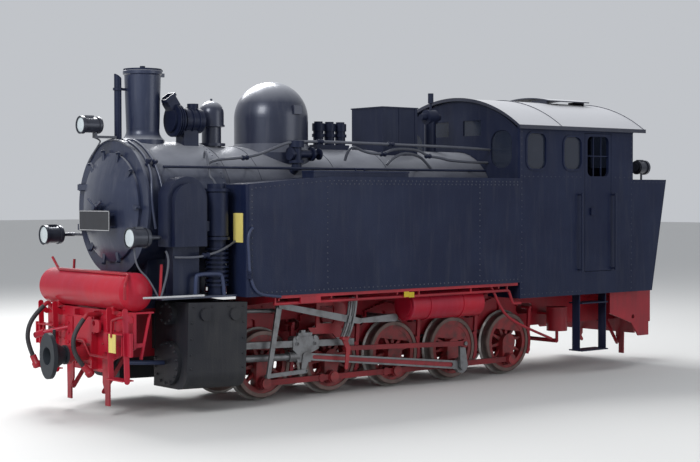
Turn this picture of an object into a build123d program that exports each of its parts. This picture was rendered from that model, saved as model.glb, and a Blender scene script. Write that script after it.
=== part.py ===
from build123d import *
import os
from math import asin, atan2, cos, degrees, hypot, pi, radians, sin, sqrt, tan

os.makedirs("parts", exist_ok=True)

# A narrow gauge five-coupled side-tank steam locomotive, at its real size in millimetres.
# X runs from the front (-X) to the rear, the left side is -Y, and z = 0 is the lowest point of the flanges.

# Wheels and axles.
FLANGE_DEPTH = 25
TREAD_R = 370
TYRE_SEAT_R = 316
TYRE_GAP = 0.3
WHEEL_BACK = 345
TYRE_WIDTH = 125
FLANGE_WIDTH = 32
AXLE_R = 75
HUB_R = 105
SPOKES = 10
AXLE_PITCH = 930
AXLE_3_X = -150
AXLE_COUNT = 5
DRIVEN = 4
CRANK_R = 200
LEFT_CRANK = -98
CRANK_LEAD = 90
PIN_R = 45
PIN_GAP = 1
HUB_FACE = 490
BOSS_FACE = 494
BOSS_R = 82

AXLE_Z = FLANGE_DEPTH + TREAD_R
FLANGE_R = TREAD_R + FLANGE_DEPTH
WHEEL_FACE = WHEEL_BACK + TYRE_WIDTH
AXLE_X = {n: AXLE_3_X + (n - 3) * AXLE_PITCH for n in range(1, AXLE_COUNT + 1)}
DRIVE_X = AXLE_X[DRIVEN]
LEFT, RIGHT = -1, 1
SIDES = (LEFT, RIGHT)
CRANK = {LEFT: LEFT_CRANK, RIGHT: LEFT_CRANK + CRANK_LEAD}

# Coupling rods.
ROD_Y = 500
ROD_THICK = 60
ROD_BAR = 40
ROD_HEIGHT = 62
ROD_EYE_R = 72
KNUCKLE_R = 46
KNUCKLE_BACK = 160

# Main frame.
FRAME_Y = 277
FRAME_THICK = 26
FRAME_FRONT = -3830
FRAME_REAR = 3900
FRAME_TOP = 1050
FRAME_LOW = 560
FRAME_HORN = 250
HORN_WIDTH = 230
HORN_TOP = 600
HORN_PITCH = 470
FRAME_OUT = FRAME_Y + FRAME_THICK
SEAT = 0.3
BOX_GAP = 1
SPRING_HALF = 330
SPRING_Z = 880

# Couplers and end beams.
COUPLER_Z = 605
COUPLER_REACH = 4340
COUPLER_PLATE = 45
COUPLER_H = 465
COUPLER_W = 310
COUPLER_SLOT_H = 180
COUPLER_SLOT_W = 165
SHANK_R = 72
BEAM_X = 3830
BEAM_THICK = 30
BEAM_HALF = 880
BEAM_LOW = 560
BEAM_TOP = 1050
REAR_BEAM_X = 3900

# Boiler and smokebox.
BOILER_Z = 2090
BOILER_R = 650
SMOKEBOX_R = 690
SMOKEBOX_FRONT = -3570
SMOKEBOX_REAR = -2600
DOOR_R = 560
DOOR_DISH = 120
DOOR_GAP = 6
FIREBOX_X = 250
FIREBOX_HALF = 560
BACKHEAD_X = 1650
CHIMNEY_X = -3210
CHIMNEY_R = 190
CHIMNEY_FOOT_R = 174
CHIMNEY_BORE = 150
CHIMNEY_TOP = 3515
DOME_X = -1550
DOME_R = 413
DOME_TOP = 3475
SMALL_DOME_X = -2350
SMALL_DOME_R = 135
SMALL_DOME_TOP = 3235
SAND_X = (-150, 385)
SAND_HALF = 280
SAND_TOP = 3230

# Side tanks, cab and bunker.
SIDE_Y = 1100
TANK_FRONT = -2660
TANK_INNER = 700
TANK_LOW = 1175
TANK_TOP_FRONT = 2325
TANK_TOP = 2410
TANK_KNEE = -1590
CAB_FRONT = 1280
CAB_REAR = 3320
CAB_LOW = 985
FLOOR_TOP = 1060
EAVES = 3030
RIDGE = 3400
ROOF_HALF = 1150
ROOF_THICK = 30
ROOF_FRONT = 1225
ROOF_REAR = 3500
WALL = 40
WAIST = 2405
BUNKER_TOP_X = 3980
BUNKER_LOW_X = 3700
DOOR_X = (2420, 2900)
DOOR_LOW = 1270
DOOR_TOP = 2965
LEAF_GAP = 6
DOOR_PIVOT_Y = SIDE_Y - WALL + 12
DOOR_PIVOT_X = DOOR_X[1] - 12
DOOR_PIN = 24
DOOR_PIN_R = 7
PANE = 10

# Cylinders and valve gear, in a plane that leans so that the piston line meets the driven axle.
# u runs rearwards from the driven axle along the piston line, v stands square to it.
INCLINE = 1.7
GEAR_Y = 640
MAIN_ROD = 2360
CYL_U = (-4080, -3365)
CYL_IN = 345
CYL_OUT = 965
CYL_LOW = -255
CYL_HIGH = 625
VALVE_V = 504
BAR_U = (-3200, -1700)
BAR_V = (105, 175)
BAR_Y = (600, 680)
ECC_R = 95
ECC_LAG = -128
TRUNNION = (-1878, 400)
LINK_HALF = 225
LINK_LEAN = 15
FOOT_LEFT = (-1856, 76)
LEVER_TOP = (-2814, 564)
LEVER_LENGTH = 758
UNION_LENGTH = 519
DROP_ARM = (-40, -150)
JOURNAL_GAP = 0.5


def box(x, y, z, mode=Mode.ADD):
    """A block between two values on each axis."""
    with Locations(((x[0] + x[1]) / 2, (y[0] + y[1]) / 2, (z[0] + z[1]) / 2)):
        Box(x[1] - x[0], y[1] - y[0], z[1] - z[0], mode=mode)


def bar(start, end, radius, mode=Mode.ADD):
    """A round bar from one point to another."""
    run = Vector(end) - Vector(start)
    with BuildSketch(Plane(origin=start, z_dir=run)) as section:
        Circle(radius)
    extrude(section.sketch, amount=run.length, mode=mode)


def tube(points, radius, bend):
    """A bent pipe through the points, with the same bend at each corner."""
    with BuildLine() as path:
        FilletPolyline(*points, radius=bend)
    with BuildSketch(Plane(origin=path.line @ 0, z_dir=path.line % 0)) as section:
        Circle(radius)
    sweep(section.sketch, path=path.line)


def upright(side, y, x=0, z=0):
    """A plane along the side of the engine, with X to the right and Z up."""
    return Plane(origin=(x, side * y, z), x_dir=(1, 0, 0), z_dir=(0, -1, 0))


def outward(side, thick, mode=Mode.ADD):
    """Extrudes away from the centre line."""
    extrude(amount=-side * thick, mode=mode)


def gear_plane(side, y):
    """The leaning plane of the cylinders and valve gear."""
    lean = radians(INCLINE)
    return Plane(origin=(DRIVE_X, side * y, AXLE_Z), x_dir=(cos(lean), 0, -sin(lean)), z_dir=(0, -1, 0))


def turned(radius, angle):
    return (radius * cos(radians(angle)), radius * sin(radians(angle)))


def meet(a, ra, b, rb, pick):
    """The point at distance ra from a and rb from b, on the side that pick says."""
    dx, dy = b[0] - a[0], b[1] - a[1]
    d = hypot(dx, dy)
    along = (ra * ra - rb * rb + d * d) / (2 * d)
    across = pick * sqrt(ra * ra - along * along)
    return (a[0] + (along * dx - across * dy) / d, a[1] + (along * dy + across * dx) / d)


def link_bar(a, b, width_a, width_b=None):
    """A flat bar with round ends between two points of the current sketch."""
    ends = ((a, width_a / 2), (b, (width_b or width_a) / 2))
    angle = degrees(atan2(b[1] - a[1], b[0] - a[0]))
    normal = Vector(0, 1).rotate(Axis.Z, angle)
    corners = [Vector(*a) + normal * ends[0][1], Vector(*b) + normal * ends[1][1]]
    corners += [Vector(*b) - normal * ends[1][1], Vector(*a) - normal * ends[0][1]]
    with BuildLine() as sides:
        Polyline(*corners, close=True)
    make_face(sides.edges())
    for centre, radius in ends:
        with Locations(centre):
            Circle(radius)


def finish(part, name):
    part.part.label = name
    export_step(part.part, f"parts/{name}.step")


# Wheelsets: an axle with two spoked centres, crank pins and balance weights, and two tyres shrunk on.
CENTRE_R = TYRE_SEAT_R - TYRE_GAP
RIM_INNER = 264
RIM_Y = (WHEEL_BACK + 8, WHEEL_FACE - 10)
SPOKE_Y = (WHEEL_BACK + 38, WHEEL_BACK + 82)
WEIGHT_Y = (WHEEL_BACK + 30, WHEEL_FACE - 14)
WEIGHT_CHORD = 150
DRIVEN_CHORD = 95
PIN_END = ROD_Y + ROD_THICK + 6
COLLAR_R = 58
COLLAR = 12

for n, x in AXLE_X.items():
    chord = DRIVEN_CHORD if n == DRIVEN else WEIGHT_CHORD
    with BuildPart() as wheelset:
        bar((x, -WHEEL_BACK - 20, AXLE_Z), (x, WHEEL_BACK + 20, AXLE_Z), AXLE_R)
        for side in SIDES:
            crank = turned(CRANK_R, CRANK[side])
            with BuildSketch(upright(side, RIM_Y[0], x, AXLE_Z)):
                Circle(CENTRE_R)
                Circle(RIM_INNER, mode=Mode.SUBTRACT)
            outward(side, RIM_Y[1] - RIM_Y[0])
            with BuildSketch(upright(side, WHEEL_BACK - 15, x, AXLE_Z)):
                Circle(HUB_R)
            outward(side, HUB_FACE - WHEEL_BACK + 15)
            with BuildSketch(upright(side, SPOKE_Y[0], x, AXLE_Z)):
                with PolarLocations((HUB_R + RIM_INNER) / 2 - 2, SPOKES, start_angle=CRANK[side]):
                    Trapezoid(46, RIM_INNER - HUB_R + 40, 86, rotation=-90)
            outward(side, SPOKE_Y[1] - SPOKE_Y[0])
            with BuildSketch(upright(side, WEIGHT_Y[0], x, AXLE_Z)):
                with Locations(Location((0, 0), CRANK[side] + 180)):
                    with BuildSketch(mode=Mode.PRIVATE) as weight:
                        Circle(RIM_INNER + 8)
                        with Locations((chord + 300, 0)):
                            Rectangle(600, 600, mode=Mode.INTERSECT)
                    add(weight.sketch)
            outward(side, WEIGHT_Y[1] - WEIGHT_Y[0])
            with BuildSketch(upright(side, SPOKE_Y[0], x, AXLE_Z)):
                link_bar((0, 0), crank, 2 * HUB_R, 2 * BOSS_R)
            outward(side, BOSS_FACE - SPOKE_Y[0])
            with BuildSketch(upright(side, BOSS_FACE, x, AXLE_Z)):
                with Locations(crank):
                    Circle(PIN_R)
            outward(side, PIN_END - BOSS_FACE)
            if n != DRIVEN:
                with BuildSketch(upright(side, PIN_END, x, AXLE_Z)):
                    with Locations(crank):
                        Circle(COLLAR_R)
                outward(side, COLLAR)
        with BuildSketch(Plane.YZ.offset(x)):
            with BuildLine():
                Polyline(
                    (WHEEL_BACK, AXLE_Z + TYRE_SEAT_R),
                    (WHEEL_BACK, AXLE_Z + FLANGE_R - 9),
                    (WHEEL_BACK + 8, AXLE_Z + FLANGE_R),
                    (WHEEL_BACK + FLANGE_WIDTH - 12, AXLE_Z + FLANGE_R),
                    (WHEEL_BACK + FLANGE_WIDTH, AXLE_Z + TREAD_R + 3),
                    (WHEEL_FACE - 14, AXLE_Z + TREAD_R - 4),
                    (WHEEL_FACE, AXLE_Z + TREAD_R - 14),
                    (WHEEL_FACE, AXLE_Z + TYRE_SEAT_R),
                    close=True,
                )
            make_face()
            mirror(about=Plane.YZ)
        revolve(axis=Axis((x, 0, AXLE_Z), (0, 1, 0)))
    finish(wheelset, f"wheelset_{n}")

# Coupling rods: fluted bars with an eye at each crank pin and knuckles between the lengths.
for side, name in ((LEFT, "coupling_rod_left"), (RIGHT, "coupling_rod_right")):
    du, dv = turned(CRANK_R, CRANK[side])
    pins = [(AXLE_X[n] + du, AXLE_Z + dv) for n in AXLE_X]
    knuckles = [(pins[1][0] - KNUCKLE_BACK, pins[1][1]), (pins[2][0] - KNUCKLE_BACK, pins[2][1])]
    knuckles += [(pins[3][0] + KNUCKLE_BACK, pins[3][1])]
    with BuildPart() as rod:
        with BuildSketch(upright(side, ROD_Y + (ROD_THICK - ROD_BAR) / 2)):
            link_bar(pins[0], pins[-1], ROD_HEIGHT)
        outward(side, ROD_BAR)
        with BuildSketch(upright(side, ROD_Y)):
            with Locations(*pins):
                Circle(ROD_EYE_R)
        outward(side, ROD_THICK)
        with BuildSketch(upright(side, ROD_Y + 4)):
            with Locations(*knuckles):
                Circle(KNUCKLE_R)
        outward(side, ROD_THICK - 8)
        with BuildSketch(upright(side, ROD_Y)):
            with Locations(*pins):
                Circle(PIN_R + PIN_GAP)
        outward(side, ROD_THICK, mode=Mode.SUBTRACT)
    finish(rod, name)

# Main frame: two plates with horn gaps, cross stays and the brackets that carry the tanks.
STAY_X = (-3700, -2300, -1545, -615, 315, 1245, 2500, 3780)
STAY_THICK = 24
STAY_Z = (640, 1000)
BRACKET_X = (-2240, -1545, -615)
REAR_BRACKET_X = 950
BRACKET_THICK = 20
with BuildPart() as frame:
    for side in SIDES:
        with BuildSketch(upright(side, FRAME_Y)):
            with BuildLine():
                Polyline(
                    (FRAME_FRONT, FRAME_LOW),
                    (FRAME_FRONT, FRAME_TOP),
                    (CAB_FRONT - 30, FRAME_TOP),
                    (CAB_FRONT - 30, FLOOR_TOP - 30.3),
                    (CAB_REAR - 20, FLOOR_TOP - 30.3),
                    (CAB_REAR - 20, CAB_LOW - 0.3),
                    (FRAME_REAR, CAB_LOW - 0.3),
                    (FRAME_REAR, FRAME_LOW),
                    close=True,
                )
            make_face()
            for x in AXLE_X.values():
                with BuildLine():
                    Polyline(
                        (x - HORN_PITCH / 2, FRAME_LOW),
                        (x - HORN_PITCH / 2 + 60, FRAME_HORN),
                        (x + HORN_PITCH / 2 - 60, FRAME_HORN),
                        (x + HORN_PITCH / 2, FRAME_LOW),
                        close=True,
                    )
                make_face()
            for x in AXLE_X.values():
                with Locations((x, (FRAME_HORN + HORN_TOP) / 2)):
                    Rectangle(HORN_WIDTH, HORN_TOP - FRAME_HORN, mode=Mode.SUBTRACT)
            with Locations(*[(x + AXLE_PITCH / 2, 780) for x in AXLE_X.values()]):
                SlotOverall(300, 130, mode=Mode.SUBTRACT)
        outward(side, FRAME_THICK)
    for x in STAY_X:
        box((x - STAY_THICK / 2, x + STAY_THICK / 2), (-FRAME_Y, FRAME_Y), STAY_Z)
    for side in SIDES:
        for x in BRACKET_X:
            with BuildSketch(Plane.YZ.offset(x - BRACKET_THICK / 2)):
                with BuildLine():
                    Polyline(
                        (side * (FRAME_OUT + SEAT), FRAME_TOP - 65),
                        (side * (FRAME_OUT + SEAT), TANK_LOW - 0.3),
                        (side * (SIDE_Y - 30), TANK_LOW - 0.3),
                        (side * (SIDE_Y - 30), TANK_LOW - 60),
                        (side * (FRAME_OUT + 120), TANK_LOW - 145),
                        close=True,
                    )
                make_face()
            extrude(amount=BRACKET_THICK)
        with BuildSketch(Plane.YZ.offset(REAR_BRACKET_X)):
            with BuildLine():
                Polyline(
                    (side * (FRAME_OUT + SEAT), FRAME_TOP - 65),
                    (side * (FRAME_OUT + SEAT), FRAME_TOP),
                    (side * (FIREBOX_HALF + 12), FRAME_TOP),
                    (side * TANK_INNER, TANK_LOW - 0.3),
                    (side * (SIDE_Y - 30), TANK_LOW - 0.3),
                    (side * (SIDE_Y - 30), TANK_LOW - 60),
                    (side * (FIREBOX_HALF + 60), FRAME_TOP - 90),
                    close=True,
                )
            make_face()
        extrude(amount=BRACKET_THICK)
finish(frame, "frame")

# Axle boxes in the horn gaps, each with its leaf spring above.
BOX_Y = (FRAME_Y - 30, WHEEL_BACK - 17)
LEAVES = ((330, 0), (290, 1), (245, 2), (200, 3), (150, 4), (100, 5))
LEAF = 14
with BuildPart() as spring_gear:
    for side in SIDES:
        for x in AXLE_X.values():
            with BuildSketch(upright(side, BOX_Y[0], x, AXLE_Z)):
                with Locations((0, 20)):
                    Rectangle(HORN_WIDTH - 2 * BOX_GAP, 290)
                Circle(AXLE_R + BOX_GAP, mode=Mode.SUBTRACT)
            outward(side, BOX_Y[1] - BOX_Y[0])
            bar((x, side * (FRAME_OUT + 14), AXLE_Z + 160), (x, side * (FRAME_OUT + 14), SPRING_Z), 11)
            with BuildSketch(upright(side, FRAME_OUT + 1, x, SPRING_Z)):
                for half, level in LEAVES:
                    with Locations((0, level * LEAF)):
                        Rectangle(2 * half, LEAF)
                with Locations((0, 40)):
                    Rectangle(70, 110)
            outward(side, 34)
            for end in (-1, 1):
                box((x + end * 312 - 12, x + end * 312 + 12), sorted((side * FRAME_OUT, side * (FRAME_OUT + 34))), (SPRING_Z - 60, SPRING_Z))
finish(spring_gear, "spring_gear")

# Front beam with its end plates, ladder steps and standpipe bracket.
BEAM_OUT = BEAM_X + BEAM_THICK
STEP_Y = (552, 860)
STEP_TREADS = (395, 850)
PANEL_Y = (800, 979)
PANEL_Z = (643, 873)
STEP_FRONT = 3990
COUPLER_HOLE = 95
with BuildPart() as front_beam:
    with BuildSketch(Plane.YZ.offset(-BEAM_OUT)):
        with BuildLine():
            Polyline(
                (-BEAM_HALF, BEAM_TOP),
                (BEAM_HALF, BEAM_TOP),
                (BEAM_HALF, BEAM_LOW + 150),
                (450, BEAM_LOW),
                (330, BEAM_LOW - 130),
                (-330, BEAM_LOW - 130),
                (-450, BEAM_LOW),
                (-BEAM_HALF, BEAM_LOW + 150),
                close=True,
            )
        make_face()
        with Locations((0, COUPLER_Z)):
            Circle(COUPLER_HOLE, mode=Mode.SUBTRACT)
    extrude(amount=BEAM_THICK)
    box((-BEAM_OUT, -BEAM_OUT + 230), (-BEAM_HALF, BEAM_HALF), (BEAM_TOP, BEAM_TOP + 16))
    for side in SIDES:
        for y in STEP_Y:
            with BuildSketch(upright(side, y)):
                link_bar((-BEAM_OUT - 20, BEAM_TOP - 60), (-STEP_FRONT + 40, 1030), 56)
                link_bar((-STEP_FRONT + 40, 1080), (-STEP_FRONT + 60, STEP_TREADS[0]), 56)
            outward(side, 14)
        for z in STEP_TREADS:
            box((-STEP_FRONT, -BEAM_OUT), sorted((side * STEP_Y[0], side * (STEP_Y[1] + 14))), (z, z + 12))
        box((-BEAM_OUT - 70, -BEAM_OUT), sorted((side * 150, side * 174)), (COUPLER_Z - 150, BEAM_TOP - 60))
        with BuildSketch(Plane.YZ.offset(-STEP_FRONT + 52)):
            with Locations((side * (PANEL_Y[0] + PANEL_Y[1]) / 2, (PANEL_Z[0] + PANEL_Z[1]) / 2)):
                RectangleRounded(PANEL_Y[1] - PANEL_Y[0], PANEL_Z[1] - PANEL_Z[0], 14)
        extrude(amount=10)
        box((-STEP_FRONT + 34, -STEP_FRONT + 54), sorted((side * PANEL_Y[0], side * (PANEL_Y[0] + 22))), PANEL_Z)
        box((-STEP_FRONT + 34, -STEP_FRONT + 54), sorted((side * (PANEL_Y[1] - 22), side * PANEL_Y[1])), PANEL_Z)
        bar((-3657, side * 850, BEAM_TOP + 4), (-3763, side * 850, 600), 16)
        box((-BEAM_X - 1, -3745), sorted((side * 840, side * 860)), (720, 760))
        box((-BEAM_OUT - 14, -BEAM_OUT), sorted((side * 320, side * 480)), (BEAM_LOW + 80, BEAM_TOP - 90))
        for z in (690, 790, 890):
            bar((-BEAM_OUT - 26, side * 400, z), (-BEAM_OUT, side * 400, z), 17)
        box((-BEAM_OUT - 60, -BEAM_OUT), sorted((side * 190, side * 206)), (820, BEAM_TOP))
        bar((-BEAM_OUT - 4, side * 660, 780), (-BEAM_OUT, side * 660, 780), 60)
    box((-BEAM_OUT - 70, -BEAM_OUT - 46), (-150, 150), (COUPLER_Z + 110, BEAM_TOP - 60))
    box((-BEAM_OUT - 70, -BEAM_OUT - 46), (-150, 150), (COUPLER_Z - 150, COUPLER_Z - 110))
    with BuildSketch(Plane.YZ.offset(-BEAM_OUT - 70)):
        with Locations((-165, 900)):
            RectangleRounded(330, 130, 40)
        with Locations((-221, 925)):
            Circle(26, mode=Mode.SUBTRACT)
    extrude(amount=22)
    bar((-BEAM_OUT, 430, 842), (-4070, 585, 790), 22)
    bar((-4058, 576, 792), (-4108, 690, 752), 34)
finish(front_beam, "front_beam")

# Rear beam under the bunker, with its side boxes.
REAR_OUT = REAR_BEAM_X + BEAM_THICK
with BuildPart() as rear_beam:
    box((REAR_BEAM_X, REAR_OUT), (-BEAM_HALF, BEAM_HALF), (BEAM_LOW, CAB_LOW - 5))
    box((REAR_BEAM_X, REAR_OUT), (-BEAM_HALF + 250, BEAM_HALF - 250), (BEAM_LOW - 170, BEAM_LOW))
    with BuildSketch(Plane.YZ.offset(REAR_BEAM_X)):
        with Locations((0, COUPLER_Z)):
            Circle(COUPLER_HOLE)
    extrude(amount=BEAM_THICK, mode=Mode.SUBTRACT)
    for side in SIDES:
        with BuildSketch(upright(side, BEAM_HALF - 20)):
            with BuildLine():
                Polyline(
                    (3140, CAB_LOW - 5),
                    (REAR_BEAM_X, CAB_LOW - 5),
                    (REAR_BEAM_X, 385),
                    (3700, 385),
                    (3560, 560),
                    (3140, 700),
                    close=True,
                )
            make_face()
            with Locations((3590, 640)):
                Circle(28, mode=Mode.SUBTRACT)
        outward(side, 20)
        box((3140, REAR_BEAM_X), sorted((side * FRAME_OUT, side * (BEAM_HALF - 20))), (CAB_LOW - 25, CAB_LOW - 5))
finish(rear_beam, "rear_beam")

# Funnel couplers: an oval plate with a slot, tapering to a round shank that passes the beam.
with BuildPart() as couplers:
    for end, beam in ((-1, BEAM_X), (1, REAR_BEAM_X)):
        face = Plane(origin=(end * COUPLER_REACH, 0, COUPLER_Z), x_dir=(0, 1, 0), z_dir=(-end, 0, 0))
        with BuildSketch(face):
            Ellipse(COUPLER_W / 2, COUPLER_H / 2)
        extrude(amount=COUPLER_PLATE)
        with BuildSketch(face.offset(COUPLER_PLATE)):
            Ellipse(COUPLER_W / 2 - 40, COUPLER_H / 2 - 70)
        with BuildSketch(face.offset(COUPLER_PLATE + 150)):
            Circle(SHANK_R)
        loft()
        with BuildSketch(face.offset(COUPLER_PLATE + 150)):
            Circle(SHANK_R)
        extrude(amount=COUPLER_REACH - beam - COUPLER_PLATE - 150 + 60)
        with BuildSketch(face):
            Ellipse(COUPLER_SLOT_W / 2, COUPLER_SLOT_H / 2)
        with BuildSketch(face.offset(170)):
            Circle(45)
        loft(mode=Mode.SUBTRACT)
        bar((end * (COUPLER_REACH - 85), 0, COUPLER_Z), (end * (COUPLER_REACH - 85), 0, COUPLER_Z + 262), 16)
        with BuildSketch(face.offset(190)):
            Circle(SHANK_R + 26)
        extrude(amount=60)
        with BuildSketch(Plane(origin=(end * (beam + BEAM_THICK), 0, COUPLER_Z), x_dir=(0, 1, 0), z_dir=(end, 0, 0))):
            Circle(COUPLER_HOLE + 45)
        extrude(amount=34)
finish(couplers, "couplers")

# Rail guards that hang from the frame ends close above the rails.
GUARD_LOW = 104
GUARD_SEAT = BEAM_THICK + 0.3
with BuildPart() as rail_guards:
    for end, x in ((-1, FRAME_FRONT), (1, FRAME_REAR)):
        for side in SIDES:
            with BuildSketch(Plane.YZ.offset(x + (GUARD_SEAT if end > 0 else -GUARD_SEAT - 18))):
                with BuildLine():
                    Polyline(
                        (side * 300, BEAM_LOW + 60),
                        (side * 300, 330),
                        (side * 350, 230),
                        (side * 350, GUARD_LOW),
                        (side * 430, GUARD_LOW),
                        (side * 430, 230),
                        (side * 440, BEAM_LOW + 60),
                        close=True,
                    )
                make_face()
            extrude(amount=18)
            with BuildSketch(upright(side, FRAME_OUT + 0.3)):
                link_bar((x + end * (GUARD_SEAT + 9), 240), (x - end * 230, BEAM_LOW + 60), 44)
            outward(side, 16)
finish(rail_guards, "rail_guards")

# Air reservoir across the front, on saddles over the beam.
TANK_X = -3800
AIR_Z = 1262
AIR_R = 190
AIR_HALF = 820
AIR_DISH = 70
CAP_R = (AIR_R ** 2 + AIR_DISH ** 2) / (2 * AIR_DISH)
CAP_MID = asin(AIR_R / CAP_R) / 2
with BuildPart() as front_air_tank:
    with BuildSketch(Plane.YZ.offset(TANK_X)):
        with BuildLine():
            Polyline((AIR_HALF + AIR_DISH, AIR_Z), (0, AIR_Z), (0, AIR_Z + AIR_R), (AIR_HALF, AIR_Z + AIR_R))
            ThreePointArc(
                (AIR_HALF, AIR_Z + AIR_R),
                (AIR_HALF + AIR_DISH - CAP_R * (1 - cos(CAP_MID)), AIR_Z + CAP_R * sin(CAP_MID)),
                (AIR_HALF + AIR_DISH, AIR_Z),
            )
        make_face()
    revolve(axis=Axis((TANK_X, 0, AIR_Z), (0, 1, 0)))
    mirror(about=Plane.XZ)
    for y in (-560, 560):
        box((TANK_X - AIR_R * 0.6, TANK_X + AIR_R * 0.6), (y - 25, y + 25), (BEAM_TOP + 16.3, AIR_Z))
finish(front_air_tank, "front_air_tank")

# Two long air reservoirs under the side tanks, held by straps.
SIDE_AIR_X = (-325, 780)
SIDE_AIR_Y = 850
SIDE_AIR_Z = 965
SIDE_AIR_R = 168
STRAP_X = (-40, 470)
with BuildPart() as side_air_tanks:
    for side in SIDES:
        start, end = SIDE_AIR_X
        bar((start, side * SIDE_AIR_Y, SIDE_AIR_Z), (end, side * SIDE_AIR_Y, SIDE_AIR_Z), SIDE_AIR_R)
        bar((start - 18, side * SIDE_AIR_Y, SIDE_AIR_Z), (end + 18, side * SIDE_AIR_Y, SIDE_AIR_Z), SIDE_AIR_R * 0.8)
        for x in STRAP_X:
            bar((x - 20, side * SIDE_AIR_Y, SIDE_AIR_Z), (x + 20, side * SIDE_AIR_Y, SIDE_AIR_Z), SIDE_AIR_R + 8)
            box((x - 20, x + 20), sorted((side * (SIDE_AIR_Y - 60), side * (SIDE_AIR_Y + 60))), (SIDE_AIR_Z + 150, TANK_LOW - 0.3))
finish(side_air_tanks, "side_air_tanks")

# Smokebox: a hollow drum with a front ring, its saddle on the frame and the running plate beside it.
SHELL = 22
MOUTH_R = 530
PLATFORM_Z = (1180, 1200)
PLATFORM_X = (-3590, -2690)
PLATFORM_Y = 960
SADDLE_X = (-3420, -2680)
with BuildPart() as smokebox:
    bar((SMOKEBOX_FRONT, 0, BOILER_Z), (SMOKEBOX_REAR, 0, BOILER_Z), SMOKEBOX_R)
    bar((SMOKEBOX_FRONT - 6, 0, BOILER_Z), (SMOKEBOX_FRONT + 25, 0, BOILER_Z), SMOKEBOX_R + 14)
    with BuildSketch(Plane.YZ.offset(SADDLE_X[0])):
        with BuildLine():
            Polyline((-FRAME_OUT, FRAME_TOP), (FRAME_OUT, FRAME_TOP), (450, BOILER_Z - 500), (-450, BOILER_Z - 500), close=True)
        make_face()
    extrude(amount=SADDLE_X[1] - SADDLE_X[0])
    for side in SIDES:
        box(PLATFORM_X, sorted((side * 300, side * PLATFORM_Y)), PLATFORM_Z)
    bar((SMOKEBOX_FRONT + SHELL, 0, BOILER_Z), (SMOKEBOX_REAR + 1, 0, BOILER_Z), SMOKEBOX_R - SHELL, Mode.SUBTRACT)
    bar((SMOKEBOX_FRONT - 10, 0, BOILER_Z), (SMOKEBOX_FRONT + SHELL + 1, 0, BOILER_Z), MOUTH_R, Mode.SUBTRACT)
    bar((CHIMNEY_X, 0, BOILER_Z + 400), (CHIMNEY_X, 0, BOILER_Z + 800), CHIMNEY_BORE, Mode.SUBTRACT)
finish(smokebox, "smokebox")

# Smokebox door: a dished plate with rim dogs, a hub with its handle and strap hinges on the right.
DOOR_BACK = SMOKEBOX_FRONT - 6 - 2
DOOR_EDGE = 26
HINGE_Y = 625
HINGE_X = DOOR_BACK - 20
STRAP_Z = (-210, 210)
DOG_TURNS = (50, 80, 110, 140, 180, 220, 250, 280, 310)
with BuildPart() as smokebox_door:
    with BuildSketch(Plane.XZ):
        with BuildLine():
            Polyline((DOOR_BACK, BOILER_Z + DOOR_R - 60), (DOOR_BACK, BOILER_Z + DOOR_R), (DOOR_BACK - DOOR_EDGE, BOILER_Z + DOOR_R))
            ThreePointArc(
                (DOOR_BACK - DOOR_EDGE, BOILER_Z + DOOR_R),
                (DOOR_BACK - DOOR_EDGE - DOOR_DISH * 0.76, BOILER_Z + DOOR_R / 2),
                (DOOR_BACK - DOOR_EDGE - DOOR_DISH, BOILER_Z),
            )
            Line((DOOR_BACK - DOOR_EDGE - DOOR_DISH, BOILER_Z), (DOOR_BACK - DOOR_DISH, BOILER_Z))
            ThreePointArc(
                (DOOR_BACK - DOOR_DISH, BOILER_Z),
                (DOOR_BACK - DOOR_DISH * 0.76, BOILER_Z + (DOOR_R - 60) / 2),
                (DOOR_BACK, BOILER_Z + DOOR_R - 60),
            )
        make_face()
    revolve(axis=Axis((0, 0, BOILER_Z), (1, 0, 0)))
    bar((DOOR_BACK - DOOR_DISH - 60, 0, BOILER_Z), (DOOR_BACK - DOOR_DISH, 0, BOILER_Z), 52)
    bar((DOOR_BACK - DOOR_DISH - 110, 0, BOILER_Z), (DOOR_BACK - DOOR_DISH - 60, 0, BOILER_Z), 26)
    for turn in (35, 155):
        wing = turned(150, turn)
        bar((DOOR_BACK - DOOR_DISH - 92, 0, BOILER_Z), (DOOR_BACK - DOOR_DISH - 92, wing[0], BOILER_Z + wing[1]), 13)
    for turn in DOG_TURNS:
        foot, tip = turned(DOOR_R - 55, turn), turned(DOOR_R + 26, turn)
        with BuildSketch(Plane(origin=(DOOR_BACK - DOOR_EDGE - 30, 0, BOILER_Z), x_dir=(0, 1, 0), z_dir=(1, 0, 0))):
            link_bar(foot, tip, 50, 34)
        extrude(amount=22)
        bar((DOOR_BACK - DOOR_EDGE - 52, tip[0], BOILER_Z + tip[1]), (DOOR_BACK - DOOR_EDGE - 20, tip[0], BOILER_Z + tip[1]), 12)
    for dz in STRAP_Z:
        with BuildSketch(Plane.YZ.offset(DOOR_BACK - DOOR_EDGE - 34)):
            with Locations(((HINGE_Y + 260) / 2, BOILER_Z + dz)):
                Rectangle(HINGE_Y - 260, 62)
        extrude(amount=22)
        bar((HINGE_X, HINGE_Y, BOILER_Z + dz - 38), (HINGE_X, HINGE_Y, BOILER_Z + dz + 38), 22)
finish(smokebox_door, "smokebox_door")

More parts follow.
